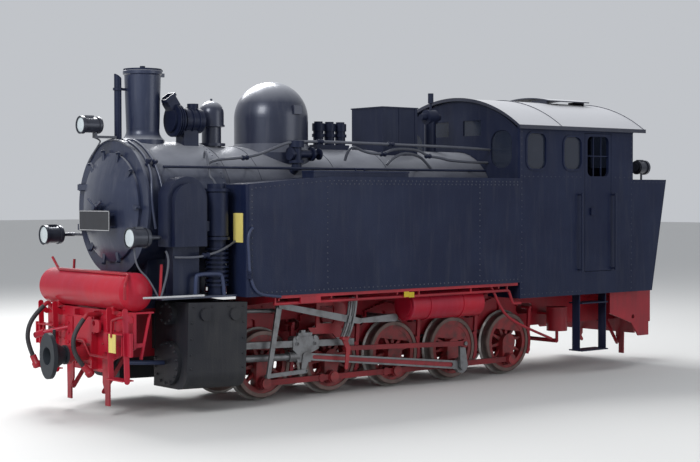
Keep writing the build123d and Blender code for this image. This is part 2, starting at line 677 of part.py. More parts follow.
# Boiler barrel and firebox with its cladding bands, the backhead in the cab and the ashpan between the frames.
BAND_X = (-2500, -2080, -1030, -250)
with BuildPart() as boiler:
    bar((SMOKEBOX_REAR + 0.3, 0, BOILER_Z), (BACKHEAD_X, 0, BOILER_Z), BOILER_R)
    for x in BAND_X:
        bar((x - 25, 0, BOILER_Z), (x + 25, 0, BOILER_Z), BOILER_R + 5)
    box((FIREBOX_X, BACKHEAD_X), (-FIREBOX_HALF, FIREBOX_HALF), (FRAME_TOP + 0.3, BOILER_Z))
    box((360, 1200), (-240, 240), (520, FRAME_TOP + 1))
    bar((BACKHEAD_X, 0, 1600), (BACKHEAD_X + 26, 0, 1600), 190)
    for y, z in ((-330, 2180), (330, 2180), (0, 2520)):
        bar((BACKHEAD_X, y, z), (BACKHEAD_X + 70, y, z), 24)
        bar((BACKHEAD_X + 70, y, z), (BACKHEAD_X + 84, y, z), 75)
finish(boiler, "boiler")

# Chimney with flared foot, widening towards its rim, its lid, and the slender exhaust pipe ahead of it.
CHIMNEY_CONE = (BOILER_Z + SMOKEBOX_R + 130, CHIMNEY_TOP - 50)


def chimney_at(z):
    """The chimney's radius at a height."""
    share = (z - CHIMNEY_CONE[0]) / (CHIMNEY_CONE[1] - CHIMNEY_CONE[0])
    return CHIMNEY_FOOT_R + (CHIMNEY_R - CHIMNEY_FOOT_R) * share


with BuildPart() as chimney:
    with BuildSketch(Plane.XZ):
        with BuildLine():
            Polyline((CHIMNEY_X + CHIMNEY_BORE, BOILER_Z + 500), (CHIMNEY_X + 225, BOILER_Z + 500), (CHIMNEY_X + 225, BOILER_Z + SMOKEBOX_R + 12))
            ThreePointArc(
                (CHIMNEY_X + 225, BOILER_Z + SMOKEBOX_R + 12),
                (CHIMNEY_X + CHIMNEY_FOOT_R + 16, BOILER_Z + SMOKEBOX_R + 50),
                (CHIMNEY_X + CHIMNEY_FOOT_R, CHIMNEY_CONE[0]),
            )
            Polyline(
                (CHIMNEY_X + CHIMNEY_FOOT_R, CHIMNEY_CONE[0]),
                (CHIMNEY_X + CHIMNEY_R, CHIMNEY_CONE[1]),
                (CHIMNEY_X + CHIMNEY_R + 15, CHIMNEY_TOP - 38),
                (CHIMNEY_X + CHIMNEY_R + 15, CHIMNEY_TOP - 8),
                (CHIMNEY_X + CHIMNEY_R + 8, CHIMNEY_TOP),
                (CHIMNEY_X + CHIMNEY_BORE, CHIMNEY_TOP),
                (CHIMNEY_X + CHIMNEY_BORE, BOILER_Z + 500),
            )
        make_face()
    revolve(axis=Axis((CHIMNEY_X, 0, 0), (0, 0, 1)))
    bar((CHIMNEY_X - 400, 0, BOILER_Z), (CHIMNEY_X + 400, 0, BOILER_Z), SMOKEBOX_R + 0.3, Mode.SUBTRACT)
    box((CHIMNEY_X + CHIMNEY_R - 4, CHIMNEY_X + 241), (-45, -20), (CHIMNEY_TOP - 60, CHIMNEY_TOP - 20))
finish(chimney, "chimney")

LID_R = 200
LID_HINGE_X = CHIMNEY_X + 228
LID_Z = CHIMNEY_TOP + 0.3
with BuildPart() as chimney_lid:
    bar((CHIMNEY_X, 0, LID_Z), (CHIMNEY_X, 0, LID_Z + 16), LID_R)
    bar((CHIMNEY_X, 0, LID_Z + 16), (CHIMNEY_X, 0, LID_Z + 40), 16)
    bar((CHIMNEY_X, 0, LID_Z + 32), (CHIMNEY_X, 0, LID_Z + 48), 28)
    box((CHIMNEY_X + 120, LID_HINGE_X), (-14, 14), (LID_Z, LID_Z + 16))
    bar((LID_HINGE_X, -14, LID_Z + 8), (LID_HINGE_X, 14, LID_Z + 8), 12)
finish(chimney_lid, "chimney_lid")

EXHAUST = (-3490, 30)
EXHAUST_R = 38
EXHAUST_TOP = 3500
with BuildPart() as exhaust_pipe:
    ex, ey = EXHAUST
    bar((ex, ey, BOILER_Z + SMOKEBOX_R - 30), (ex, ey, EXHAUST_TOP), EXHAUST_R)
    bar((ex, ey, EXHAUST_TOP - 400), (ex, ey, EXHAUST_TOP + 5), EXHAUST_R - 5, Mode.SUBTRACT)
    with BuildSketch(Plane.XZ.offset(-200)):
        with BuildLine():
            Polyline((ex - 60, EXHAUST_TOP + 5), (ex + 60, EXHAUST_TOP + 5), (ex + 60, EXHAUST_TOP - 95), (ex - 60, EXHAUST_TOP - 15), close=True)
        make_face()
    extrude(amount=400, mode=Mode.SUBTRACT)
    bar((ex, ey, 3300), (ex, ey, 3326), EXHAUST_R + 12)
    box((ex + EXHAUST_R, CHIMNEY_X - chimney_at(3300) + 12), (ey - 12, ey + 12), (3300, 3326))
    bar((ex, ey, BOILER_Z + SMOKEBOX_R - 6), (ex, ey, BOILER_Z + SMOKEBOX_R + 20), 52)
    bar((ex - 200, 0, BOILER_Z), (ex + 200, 0, BOILER_Z), SMOKEBOX_R + 0.3, Mode.SUBTRACT)
    with BuildSketch(Plane.XY.offset(3200)):
        with Locations((CHIMNEY_X, 0)):
            Circle(chimney_at(3326) + 0.3)
    extrude(amount=300, mode=Mode.SUBTRACT)
finish(exhaust_pipe, "exhaust_pipe")

# Domes: the large one on its flared saddle, and the small bell on its column.
DOME_Z = DOME_TOP - DOME_R
with BuildPart() as domes:
    with BuildSketch(Plane.XZ):
        with BuildLine():
            Polyline((DOME_X, BOILER_Z + 400), (DOME_X + DOME_R + 60, BOILER_Z + 400), (DOME_X + DOME_R + 55, BOILER_Z + BOILER_R - 60))
            Line((DOME_X + DOME_R + 55, BOILER_Z + BOILER_R - 60), (DOME_X + DOME_R, BOILER_Z + BOILER_R + 40))
            Line((DOME_X + DOME_R, BOILER_Z + BOILER_R + 40), (DOME_X + DOME_R, DOME_Z))
            ThreePointArc(
                (DOME_X + DOME_R, DOME_Z),
                (DOME_X + DOME_R * sqrt(0.5), DOME_Z + DOME_R * sqrt(0.5)),
                (DOME_X, DOME_TOP),
            )
            Line((DOME_X, DOME_TOP), (DOME_X, BOILER_Z + 400))
        make_face()
    revolve(axis=Axis((DOME_X, 0, 0), (0, 0, 1)))
    with BuildSketch(Plane.XZ):
        with BuildLine():
            Polyline(
                (SMALL_DOME_X, BOILER_Z + 400),
                (SMALL_DOME_X + 105, BOILER_Z + 400),
                (SMALL_DOME_X + 105, SMALL_DOME_TOP - 290),
                (SMALL_DOME_X + SMALL_DOME_R, SMALL_DOME_TOP - 280),
                (SMALL_DOME_X + SMALL_DOME_R, SMALL_DOME_TOP - SMALL_DOME_R),
            )
            ThreePointArc(
                (SMALL_DOME_X + SMALL_DOME_R, SMALL_DOME_TOP - SMALL_DOME_R),
                (SMALL_DOME_X + SMALL_DOME_R * sqrt(0.5), SMALL_DOME_TOP - SMALL_DOME_R * (1 - sqrt(0.5))),
                (SMALL_DOME_X, SMALL_DOME_TOP),
            )
            Line((SMALL_DOME_X, SMALL_DOME_TOP), (SMALL_DOME_X, BOILER_Z + 400))
        make_face()
    revolve(axis=Axis((SMALL_DOME_X, 0, 0), (0, 0, 1)))
    bar((SMALL_DOME_X, 0, SMALL_DOME_TOP - 282), (SMALL_DOME_X, 0, SMALL_DOME_TOP - 262), SMALL_DOME_R + 9)
    bar((SMALL_DOME_X, 0, SMALL_DOME_TOP - 6), (SMALL_DOME_X, 0, SMALL_DOME_TOP + 22), 13)
    bar((SMALL_DOME_X, 0, 2745), (SMALL_DOME_X, 0, 2775), 150)
    bar((-3000, 0, BOILER_Z), (0, 0, BOILER_Z), BOILER_R + 0.3, Mode.SUBTRACT)
finish(domes, "domes")

# Sand box ahead of the cab, sitting on the barrel.
with BuildPart() as sand_box:
    box(SAND_X, (-SAND_HALF, SAND_HALF), (BOILER_Z + 300, SAND_TOP))
    box((SAND_X[0] - 12, SAND_X[1] + 12), (-SAND_HALF - 12, SAND_HALF + 12), (SAND_TOP, SAND_TOP + 14))
    for x in (SAND_X[0], (SAND_X[0] + SAND_X[1]) / 2 - 20, SAND_X[1] - 40):
        box((x, x + 40), (-SAND_HALF - 6, SAND_HALF + 6), (BOILER_Z + 300, SAND_TOP))
    bar((SAND_X[0] - 50, 0, BOILER_Z), (SAND_X[1] + 50, 0, BOILER_Z), BOILER_R + 0.3, Mode.SUBTRACT)
finish(sand_box, "sand_box")

# Fittings on top of the boiler: safety valves, feed valve stand, turret with the whistle.
SAFETY_X = (-880, -720, -560)
with BuildPart() as boiler_fittings:
    for x in SAFETY_X:
        bar((x, 0, BOILER_Z + 500), (x, 0, 2960), 60)
        bar((x, 0, 2880), (x, 0, 2915), 74)
        bar((x, 0, 2950), (x, 0, 3035), 72)
        bar((x, 0, 3035), (x, 0, 3056), 50)
    box((-960, -480), (-70, 70), (BOILER_Z + 500, BOILER_Z + BOILER_R + 50))
    bar((-1643, -400, 2381), (-1643, -590, 2519.5), 45)
    bar((-1643, -590, 2480), (-1643, -590, 2760), 55)
    bar((-1643, -590, 2560), (-1643, -590, 2590), 85)
    bar((-1643, -590, 2730), (-1643, -590, 2800), 82)
    bar((-1730, -590, 2660), (-1440, -590, 2660), 46)
    bar((-1450, -590, 2660), (-1425, -590, 2660), 76)
    bar((-1740, -590, 2660), (-1715, -590, 2660), 70)
    bar((-1425, -590, 2660), (-1330, -590, 2660), 12)
    bar((-1340, -590, 2660), (-1326, -590, 2660), 62)
    bar((850, 0, BOILER_Z + 500), (850, 0, 3120), 70)
    bar((780, 0, 3160), (920, 0, 3160), 90)
    bar((700, 0, 3160), (1000, 0, 3160), 40)
    bar((860, 0, 3200), (860, 0, 3400), 14)
    bar((860, 0, 3330), (860, 0, 3450), 34)
    bar((-3000, 0, BOILER_Z), (1200, 0, BOILER_Z), BOILER_R + 0.3, Mode.SUBTRACT)
finish(boiler_fittings, "boiler_fittings")

# Steam generator behind the chimney, on its bracket over the smokebox.
with BuildPart() as generator:
    bar((-2900, -170, 3000), (-2620, -170, 3000), 130)
    bar((-2900, -170, 3000), (-2960, -170, 3000), 165)
    bar((-2960, -170, 3000), (-2990, -170, 3000), 120)
    for x in (-2950, -2925, -2900):
        bar((x - 5, -170, 3000), (x + 5, -170, 3000), 176)
    for x in (-2840, -2760, -2680):
        bar((x - 9, -170, 3000), (x + 9, -170, 3000), 140)
    bar((-2620, -170, 3000), (-2585, -170, 3000), 84)
    hood = Plane(origin=(-2935, -170, 3120), x_dir=(0.82, 0, 0.57), z_dir=(-0.57, 0, 0.82))
    with BuildSketch(hood):
        Rectangle(120, 130)
    extrude(amount=120)
    with BuildSketch(hood.offset(120)):
        RectangleRounded(150, 150, 12)
    extrude(amount=34)
    with BuildSketch(hood.offset(155)):
        RectangleRounded(118, 118, 10)
    extrude(amount=-60, mode=Mode.SUBTRACT)
    bar((-2700, -170, 3080), (-2700, -170, 3180), 60)
    box((-2860, -2680), (-250, -90), (BOILER_Z + 500, 2900))
    bar((-3100, 0, BOILER_Z), (-2500, 0, BOILER_Z), SMOKEBOX_R + 0.3, Mode.SUBTRACT)
    bar((CHIMNEY_X, 0, 2950), (CHIMNEY_X, 0, 3400), CHIMNEY_R + 12, Mode.SUBTRACT)
finish(generator, "generator")

# Side tanks with sloping front tops, their seam strips and the long filler lids on top.
FILLER_X = (-1774, -440)
FILLER_Y = (860, 1060)
FILLER_CURB = 40
with BuildPart() as side_tank:
    with BuildSketch(upright(LEFT, TANK_INNER)):
        with BuildLine():
            Polyline(
                (TANK_FRONT, TANK_LOW),
                (TANK_FRONT, TANK_TOP_FRONT),
                (TANK_KNEE, TANK_TOP),
                (CAB_FRONT - 0.3, TANK_TOP),
                (CAB_FRONT - 0.3, TANK_LOW),
                close=True,
            )
        make_face()
    outward(LEFT, SIDE_Y - TANK_INNER)
    fillet(side_tank.edges().filter_by(Axis.Z).group_by(Axis.X)[0], radius=35)
    box((FILLER_X[0], FILLER_X[1]), (-FILLER_Y[1], -FILLER_Y[0]), (TANK_TOP - 60, TANK_TOP + FILLER_CURB))
    box(
        (FILLER_X[0] + 30, FILLER_X[1] - 30),
        (-FILLER_Y[1] + 25, -FILLER_Y[0] - 25),
        (TANK_TOP - 180, TANK_TOP + FILLER_CURB + 1),
        Mode.SUBTRACT,
    )
finish(side_tank, "side_tank_left")
with BuildPart() as side_tank_other:
    add(mirror(side_tank.part, about=Plane.XZ, mode=Mode.PRIVATE))
finish(side_tank_other, "side_tank_right")

LID_GAP = 0.3
LID_THICK = 22
LID_PIVOT_Z = TANK_TOP + FILLER_CURB + LID_GAP + LID_THICK / 2
LID_PIVOT_Y = FILLER_Y[0] - 16
for side, name in ((LEFT, "tank_lid_left"), (RIGHT, "tank_lid_right")):
    with BuildPart() as tank_lid:
        lid_z = TANK_TOP + FILLER_CURB + LID_GAP
        box((FILLER_X[0] - 6, FILLER_X[1] + 6), sorted((side * FILLER_Y[0], side * (FILLER_Y[1] + 8))), (lid_z, lid_z + LID_THICK))
        for x in (FILLER_X[0] + 200, FILLER_X[1] - 200):
            bar((x - 60, side * LID_PIVOT_Y, LID_PIVOT_Z), (x + 60, side * LID_PIVOT_Y, LID_PIVOT_Z), 13)
            box((x - 60, x + 60), sorted((side * LID_PIVOT_Y, side * FILLER_Y[0])), (LID_PIVOT_Z - 7, LID_PIVOT_Z + 7))
        bar(((FILLER_X[0] + FILLER_X[1]) / 2 - 70, side * (FILLER_Y[1] - 40), lid_z + 45), ((FILLER_X[0] + FILLER_X[1]) / 2 + 70, side * (FILLER_Y[1] - 40), lid_z + 45), 9)
        for dx in (-61, 61):
            bar(((FILLER_X[0] + FILLER_X[1]) / 2 + dx, side * (FILLER_Y[1] - 40), lid_z + 10), ((FILLER_X[0] + FILLER_X[1]) / 2 + dx, side * (FILLER_Y[1] - 40), lid_z + 45), 9)
    finish(tank_lid, name)

# Air pump beside the smokebox: a rounded casing with a ribbed cylinder behind it, and the feed pump opposite.
PUMP_X = (-3480, -3010)
PUMP_Y = (720, 960)
RIB_PUMP = (-2850, 830)
RIB_R = 120
with BuildPart() as air_pump:
    for x0, x1, y0, y1, top in ((PUMP_X[0], PUMP_X[1], PUMP_Y[0], PUMP_Y[1] - 60, 2400), (PUMP_X[0] + 50, PUMP_X[1] - 50, PUMP_Y[0], PUMP_Y[1], 2330)):
        half = (x1 - x0) / 2
        with BuildSketch(upright(LEFT, y0)):
            with BuildLine():
                Line((x0, 1700), (x1, 1700))
                Line((x1, 1700), (x1, top - half))
                ThreePointArc((x1, top - half), (x0 + half, top), (x0, top - half))
                Line((x0, top - half), (x0, 1700))
            make_face()
        outward(LEFT, y1 - y0)
    box((-3400, -3090), (-870, -735), (PLATFORM_Z[1], 1700))
    x, y = RIB_PUMP
    bar((x, -y, PLATFORM_Z[1]), (x, -y, 2330), RIB_R - 26)
    for k in range(9):
        bar((x, -y, 1290 + k * 46), (x, -y, 1312 + k * 46), RIB_R)
    for z0, z1 in ((1760, 1790), (1800, 2240), (2250, 2280)):
        bar((x, -y, z0), (x, -y, z1), RIB_R + (14 if z1 - z0 < 60 else 0))
    box((PUMP_X[1], x), (-y - 40, -y + 40), (1850, 1950))
finish(air_pump, "air_pump")

# Cab: walls with cut windows, doors in the sides, an arched roof with its ventilator, and the floor.
ARCH_R = (ROOF_HALF ** 2 + (RIDGE - EAVES) ** 2) / (2 * (RIDGE - EAVES))
SIDE_WINDOWS = ((1400, 1720, 2525, 2945, 90), (2040, 2350, 2525, 2915, 90))
DOOR_WINDOW = (2465, 2858, 2440, 2930, 70)
FRONT_OVAL = (616, 969, 2536, 2985, 150)
FRONT_SQUARE = (128, 444, 2933, 3120, 12)
REAR_WINDOW = (400, 850, 2560, 2960, 30)
BUNKER_SEAT = CAB_REAR + 0.3


def window(x0, x1, z0, z1, corner, grow=0, mode=Mode.SUBTRACT):
    with Locations(((x0 + x1) / 2, (z0 + z1) / 2)):
        RectangleRounded(x1 - x0 + 2 * grow, z1 - z0 + 2 * grow, corner + grow, mode=mode)


for side, name in ((LEFT, "cab_side_left"), (RIGHT, "cab_side_right")):
    with BuildPart() as cab_side:
        with BuildSketch(upright(side, SIDE_Y - WALL)):
            with BuildLine():
                Polyline((CAB_FRONT, CAB_LOW), (CAB_FRONT, EAVES), (CAB_REAR, EAVES), (CAB_REAR, CAB_LOW), close=True)
            make_face()
            for row in SIDE_WINDOWS:
                window(*row)
            with BuildLine():
                Polyline(
                    (DOOR_X[0] - LEAF_GAP, DOOR_LOW - LEAF_GAP),
                    (DOOR_X[0] - LEAF_GAP, DOOR_TOP + LEAF_GAP),
                    (DOOR_X[1] + LEAF_GAP, DOOR_TOP + LEAF_GAP),
                    (DOOR_X[1] + LEAF_GAP, DOOR_LOW - LEAF_GAP),
                    close=True,
                )
            make_face(mode=Mode.SUBTRACT)
        outward(side, WALL)
        with BuildSketch(upright(side, SIDE_Y)):
            for row in SIDE_WINDOWS:
                window(*row, grow=22, mode=Mode.ADD)
            for row in SIDE_WINDOWS:
                window(*row)
        outward(side, 10)
        box((CAB_FRONT, CAB_REAR), sorted((side * SIDE_Y, side * (SIDE_Y + 8))), (EAVES - 40, EAVES - 12))
        x, y = DOOR_PIVOT_X, side * DOOR_PIVOT_Y
        bar((x, y, DOOR_LOW - LEAF_GAP - 10), (x, y, DOOR_LOW + DOOR_PIN), DOOR_PIN_R)
        bar((x, y, DOOR_TOP - DOOR_PIN), (x, y, DOOR_TOP + LEAF_GAP + 10), DOOR_PIN_R)
    finish(cab_side, name)

for side, name in ((LEFT, "cab_door_left"), (RIGHT, "cab_door_right")):
    with BuildPart() as cab_door:
        with BuildSketch(upright(side, SIDE_Y - WALL)):
            with BuildLine():
                Polyline((DOOR_X[0], DOOR_LOW), (DOOR_X[0], DOOR_TOP), (DOOR_X[1], DOOR_TOP), (DOOR_X[1], DOOR_LOW), close=True)
            make_face()
            window(*DOOR_WINDOW)
        outward(side, WALL)
        with BuildSketch(upright(side, SIDE_Y - WALL + 14)):
            for x in (DOOR_WINDOW[0] + 125, DOOR_WINDOW[0] + 265):
                with Locations((x, (DOOR_WINDOW[2] + DOOR_WINDOW[3]) / 2)):
                    Rectangle(12, DOOR_WINDOW[3] - DOOR_WINDOW[2] + 4)
            with Locations(((DOOR_WINDOW[0] + DOOR_WINDOW[1]) / 2, 2690)):
                Rectangle(DOOR_WINDOW[1] - DOOR_WINDOW[0] + 4, 12)
        outward(side, 12)
        box((DOOR_X[0] + 95, DOOR_X[0] + 175), sorted((side * (SIDE_Y - 2), side * (SIDE_Y + 22))), (1960, 2050))
        x, y = DOOR_PIVOT_X, side * DOOR_PIVOT_Y
        bar((x, y, DOOR_LOW - 1), (x, y, DOOR_LOW + DOOR_PIN + 1), DOOR_PIN_R + SEAT, Mode.SUBTRACT)
        bar((x, y, DOOR_TOP - DOOR_PIN - 1), (x, y, DOOR_TOP + 1), DOOR_PIN_R + SEAT, Mode.SUBTRACT)
    finish(cab_door, name)


def end_wall(x, low):
    """The outline of a cab end wall, under the roof arch."""
    with BuildSketch(Plane.YZ.offset(x)) as wall:
        with BuildLine() as outline:
            half = SIDE_Y - WALL - 0.3
            under = EAVES - ROOF_THICK - 1
            crown = RIDGE - ROOF_THICK - 1
            Polyline((-half, under), (-half, low), (half, low), (half, under))
            ThreePointArc((half, under), (0, crown), (-half, under))
        make_face(outline.edges())
    extrude(wall.sketch, amount=WALL)


with BuildPart() as cab_front:
    end_wall(CAB_FRONT, CAB_LOW)
    with BuildSketch(Plane.YZ.offset(CAB_FRONT)):
        with Locations((0, BOILER_Z)):
            Circle(BOILER_R + 6)
        with Locations((0, (CAB_LOW + BOILER_Z) / 2 - 5)):
            Rectangle(2 * FIREBOX_HALF + 2, BOILER_Z - CAB_LOW + 10)
        for flip in (-1, 1):
            y0, y1, z0, z1, corner = FRONT_OVAL
            window(*sorted((flip * y0, flip * y1)), z0, z1, corner, mode=Mode.ADD)
            y0, y1, z0, z1, corner = FRONT_SQUARE
            window(*sorted((flip * y0, flip * y1)), z0, z1, corner, mode=Mode.ADD)
    extrude(amount=WALL, mode=Mode.SUBTRACT)
finish(cab_front, "cab_front")

with BuildPart() as cab_rear:
    end_wall(CAB_REAR - WALL, FLOOR_TOP + 0.3)
    with BuildSketch(Plane.YZ.offset(CAB_REAR - WALL)):
        for flip in (-1, 1):
            y0, y1, z0, z1, corner = REAR_WINDOW
            window(*sorted((flip * y0, flip * y1)), z0, z1, corner, mode=Mode.ADD)
    extrude(amount=WALL, mode=Mode.SUBTRACT)
finish(cab_rear, "cab_rear")

VENT_X = (2500, 3250)
VENT_HALF = 430
VENT_RISE = 60
with BuildPart() as cab_roof:
    with BuildSketch(Plane.YZ.offset(ROOF_FRONT)):
        with BuildLine():
            ThreePointArc((-ROOF_HALF, EAVES), (0, RIDGE), (ROOF_HALF, EAVES))
            Line((ROOF_HALF, EAVES), (ROOF_HALF, EAVES - ROOF_THICK))
            ThreePointArc((ROOF_HALF, EAVES - ROOF_THICK), (0, RIDGE - ROOF_THICK), (-ROOF_HALF, EAVES - ROOF_THICK))
            Line((-ROOF_HALF, EAVES - ROOF_THICK), (-ROOF_HALF, EAVES))
        make_face()
    extrude(amount=ROOF_REAR - ROOF_FRONT)
    for x in (ROOF_FRONT, 1960, ROOF_REAR - 24):
        with BuildSketch(Plane.YZ.offset(x)):
            with BuildLine():
                ThreePointArc((-ROOF_HALF, EAVES + 9), (0, RIDGE + 9), (ROOF_HALF, EAVES + 9))
                Line((ROOF_HALF, EAVES + 9), (ROOF_HALF, EAVES - ROOF_THICK / 2))
                ThreePointArc((ROOF_HALF, EAVES - ROOF_THICK / 2), (0, RIDGE - ROOF_THICK / 2), (-ROOF_HALF, EAVES - ROOF_THICK / 2))
                Line((-ROOF_HALF, EAVES - ROOF_THICK / 2), (-ROOF_HALF, EAVES + 9))
            make_face()
        extrude(amount=24)
    for side in SIDES:
        box((ROOF_FRONT, ROOF_REAR), sorted((side * (ROOF_HALF - 12), side * (ROOF_HALF + 10))), (EAVES - ROOF_THICK - 6, EAVES + 10))
    with BuildSketch(Plane.YZ.offset(VENT_X[0])):
        drop = ARCH_R - sqrt(ARCH_R ** 2 - VENT_HALF ** 2)
        top = RIDGE + VENT_RISE
        with BuildLine():
            ThreePointArc((-VENT_HALF, top - drop), (0, top), (VENT_HALF, top - drop))
            Line((VENT_HALF, top - drop), (VENT_HALF, top - drop - 14))
            ThreePointArc((VENT_HALF, top - drop - 14), (0, top - 14), (-VENT_HALF, top - drop - 14))
            Line((-VENT_HALF, top - drop - 14), (-VENT_HALF, top - drop))
        make_face()
    extrude(amount=VENT_X[1] - VENT_X[0])
    for x in (VENT_X[0] + 20, VENT_X[1] - 40):
        for side in SIDES:
            box((x, x + 20), sorted((side * 100, side * 360)), (RIDGE - 65, RIDGE + VENT_RISE - 40))
finish(cab_roof, "cab_roof")

with BuildPart() as cab_floor:
    box((CAB_FRONT + WALL + 0.3, CAB_REAR - 0.3), (-SIDE_Y + WALL + 0.3, SIDE_Y - WALL - 0.3), (FLOOR_TOP - 30, FLOOR_TOP))
    box((FIREBOX_X, BACKHEAD_X + 0.6), (-FIREBOX_HALF - 0.3, FIREBOX_HALF + 0.3), (FRAME_TOP - 40, FLOOR_TOP + 10), Mode.SUBTRACT)
    for side in SIDES:
        box((CAB_FRONT + WALL + 0.3, CAB_REAR - 0.3), sorted((side * (SIDE_Y - WALL - 0.3), side * (SIDE_Y - WALL - 30))), (CAB_LOW, FLOOR_TOP - 30))
        box((1750, 2350), sorted((side * 580, side * 920)), (FLOOR_TOP + 560, FLOOR_TOP + 600))
        box((1770, 2330), sorted((side * 620, side * 880)), (FLOOR_TOP, FLOOR_TOP + 560))
finish(cab_floor, "cab_floor")

with BuildPart() as window_panes:
    for side in SIDES:
        with BuildSketch(upright(side, SIDE_Y - WALL / 2 - PANE / 2)):
            for row in SIDE_WINDOWS:
                window(*row, grow=-0.3, mode=Mode.ADD)
        outward(side, PANE)
        for x, row in ((CAB_FRONT, FRONT_OVAL), (CAB_FRONT, FRONT_SQUARE), (CAB_REAR - WALL, REAR_WINDOW)):
            y0, y1, z0, z1, corner = row
            with BuildSketch(Plane.YZ.offset(x + WALL / 2 - PANE / 2)):
                window(*sorted((side * y0, side * y1)), z0, z1, corner, grow=-0.3, mode=Mode.ADD)
            extrude(amount=PANE)
finish(window_panes, "window_panes")

# Coal bunker behind the cab, open at the top, with a rear wall that leans in towards its foot.
PLATE = 30
with BuildPart() as bunker:
    with BuildSketch(upright(RIGHT, -SIDE_Y)):
        with BuildLine():
            Polyline((BUNKER_SEAT, CAB_LOW), (BUNKER_SEAT, WAIST), (BUNKER_TOP_X, WAIST), (BUNKER_LOW_X, CAB_LOW), close=True)
        make_face()
    extrude(amount=-2 * SIDE_Y)
    with BuildSketch(upright(RIGHT, -SIDE_Y + PLATE)):
        with BuildLine():
            Polyline(
                (BUNKER_SEAT + PLATE, CAB_LOW + 260),
                (BUNKER_SEAT + PLATE, WAIST + 1),
                (BUNKER_TOP_X - PLATE, WAIST + 1),
                (BUNKER_LOW_X - PLATE + 50, CAB_LOW + 260),
                close=True,
            )
        make_face()
    extrude(amount=-2 * SIDE_Y + 2 * PLATE, mode=Mode.SUBTRACT)
finish(bunker, "bunker")

# Cylinders with valve chests above, covers and glands, set on the leaning piston line.
COVER_R = 225
COVER = 45
VALVE_R = 118
CAP_U = (-3880, -3520)
with BuildPart() as cylinders:
    for side in SIDES:
        line = gear_plane(side, CYL_IN)
        with BuildSketch(line):
            with Locations(((CYL_U[0] + CYL_U[1]) / 2, (CYL_LOW + CYL_HIGH) / 2)):
                Rectangle(CYL_U[1] - CYL_U[0], CYL_HIGH - CYL_LOW)
        outward(side, CYL_OUT - CYL_IN)
        with BuildSketch(gear_plane(side, CYL_OUT)):
            with Locations(*[(u, VALVE_V) for u in CAP_U]):
                Circle(62)
        outward(side, 24)
    edges = cylinders.edges().filter_by(lambda e: abs((e % 0.5).Y) < 0.01 and abs((e % 0.5).Z) < 0.1)
    fillet(edges.group_by(Axis.Z)[0].filter_by(lambda e: abs(e.center().Y) > CYL_OUT - 10), radius=170)
    for side in SIDES:
        for y, v, radius, thick in ((GEAR_Y, 0, COVER_R, COVER), (GEAR_Y, VALVE_V, VALVE_R, 60)):
            for u, out in ((CYL_U[0], -1), (CYL_U[1], 1)):
                seat = gear_plane(side, y).from_local_coords(Vector(u, v, 0))
                tip = gear_plane(side, y).from_local_coords(Vector(u + out * thick, v, 0))
                bar(seat, tip, radius)
        for v, radius, reach in ((0, 70, 120), (VALVE_V, 48, 110)):
            seat = gear_plane(side, GEAR_Y).from_local_coords(Vector(CYL_U[1] + 40, v, 0))
            tip = gear_plane(side, GEAR_Y).from_local_coords(Vector(CYL_U[1] + reach, v, 0))
            bar(seat, tip, radius)
        bar(
            gear_plane(side, GEAR_Y).from_local_coords(Vector(CYL_U[1] - 200, 0, 0)),
            gear_plane(side, GEAR_Y).from_local_coords(Vector(CYL_U[1] + 200, 0, 0)),
            38 + JOURNAL_GAP,
            Mode.SUBTRACT,
        )
        bar(
            gear_plane(side, GEAR_Y).from_local_coords(Vector(CYL_U[1] - 150, VALVE_V, 0)),
            gear_plane(side, GEAR_Y).from_local_coords(Vector(CYL_U[1] + 200, VALVE_V, 0)),
            22 + JOURNAL_GAP,
            Mode.SUBTRACT,
        )
        box((-3300, -2700), sorted((side * FRAME_OUT, side * (CYL_IN + 5))), (640, 1000))
finish(cylinders, "cylinders")


def gear(side):
    """Every pin of the motion on one side, from the crank angle, in the leaning plane."""
    pin = turned(CRANK_R, CRANK[side])
    cross = (pin[0] - sqrt(MAIN_ROD ** 2 - pin[1] ** 2), 0)
    ecc = turned(ECC_R, CRANK[side] + ECC_LAG)
    left_ecc = turned(ECC_R, LEFT_CRANK + ECC_LAG)
    ecc_rod = hypot(FOOT_LEFT[0] - left_ecc[0], FOOT_LEFT[1] - left_ecc[1])
    foot_arm = hypot(FOOT_LEFT[0] - TRUNNION[0], FOOT_LEFT[1] - TRUNNION[1])
    foot = meet(TRUNNION, foot_arm, ecc, ecc_rod, -1)
    swing = atan2(foot[1] - TRUNNION[1], foot[0] - TRUNNION[0]) - atan2(
        FOOT_LEFT[1] - TRUNNION[1], FOOT_LEFT[0] - TRUNNION[0]
    )
    drop = (cross[0] + DROP_ARM[0], DROP_ARM[1])
    lever_foot = meet(LEVER_TOP, LEVER_LENGTH, drop, UNION_LENGTH, -1)
    return dict(pin=pin, cross=cross, ecc=ecc, foot=foot, swing=degrees(swing), drop=drop, lever_foot=lever_foot)


GEAR = {side: gear(side) for side in SIDES}


def leaned(side, y, point, angle):
    """A plane in the motion, turned about one of its points."""
    base = gear_plane(side, y)
    along = base.x_dir * cos(radians(angle)) + base.y_dir * sin(radians(angle))
    return Plane(origin=base.from_local_coords(Vector(*point, 0)), x_dir=along, z_dir=base.z_dir)


def at_gear(side, y, u, v):
    return gear_plane(side, y).from_local_coords(Vector(u, v, 0))


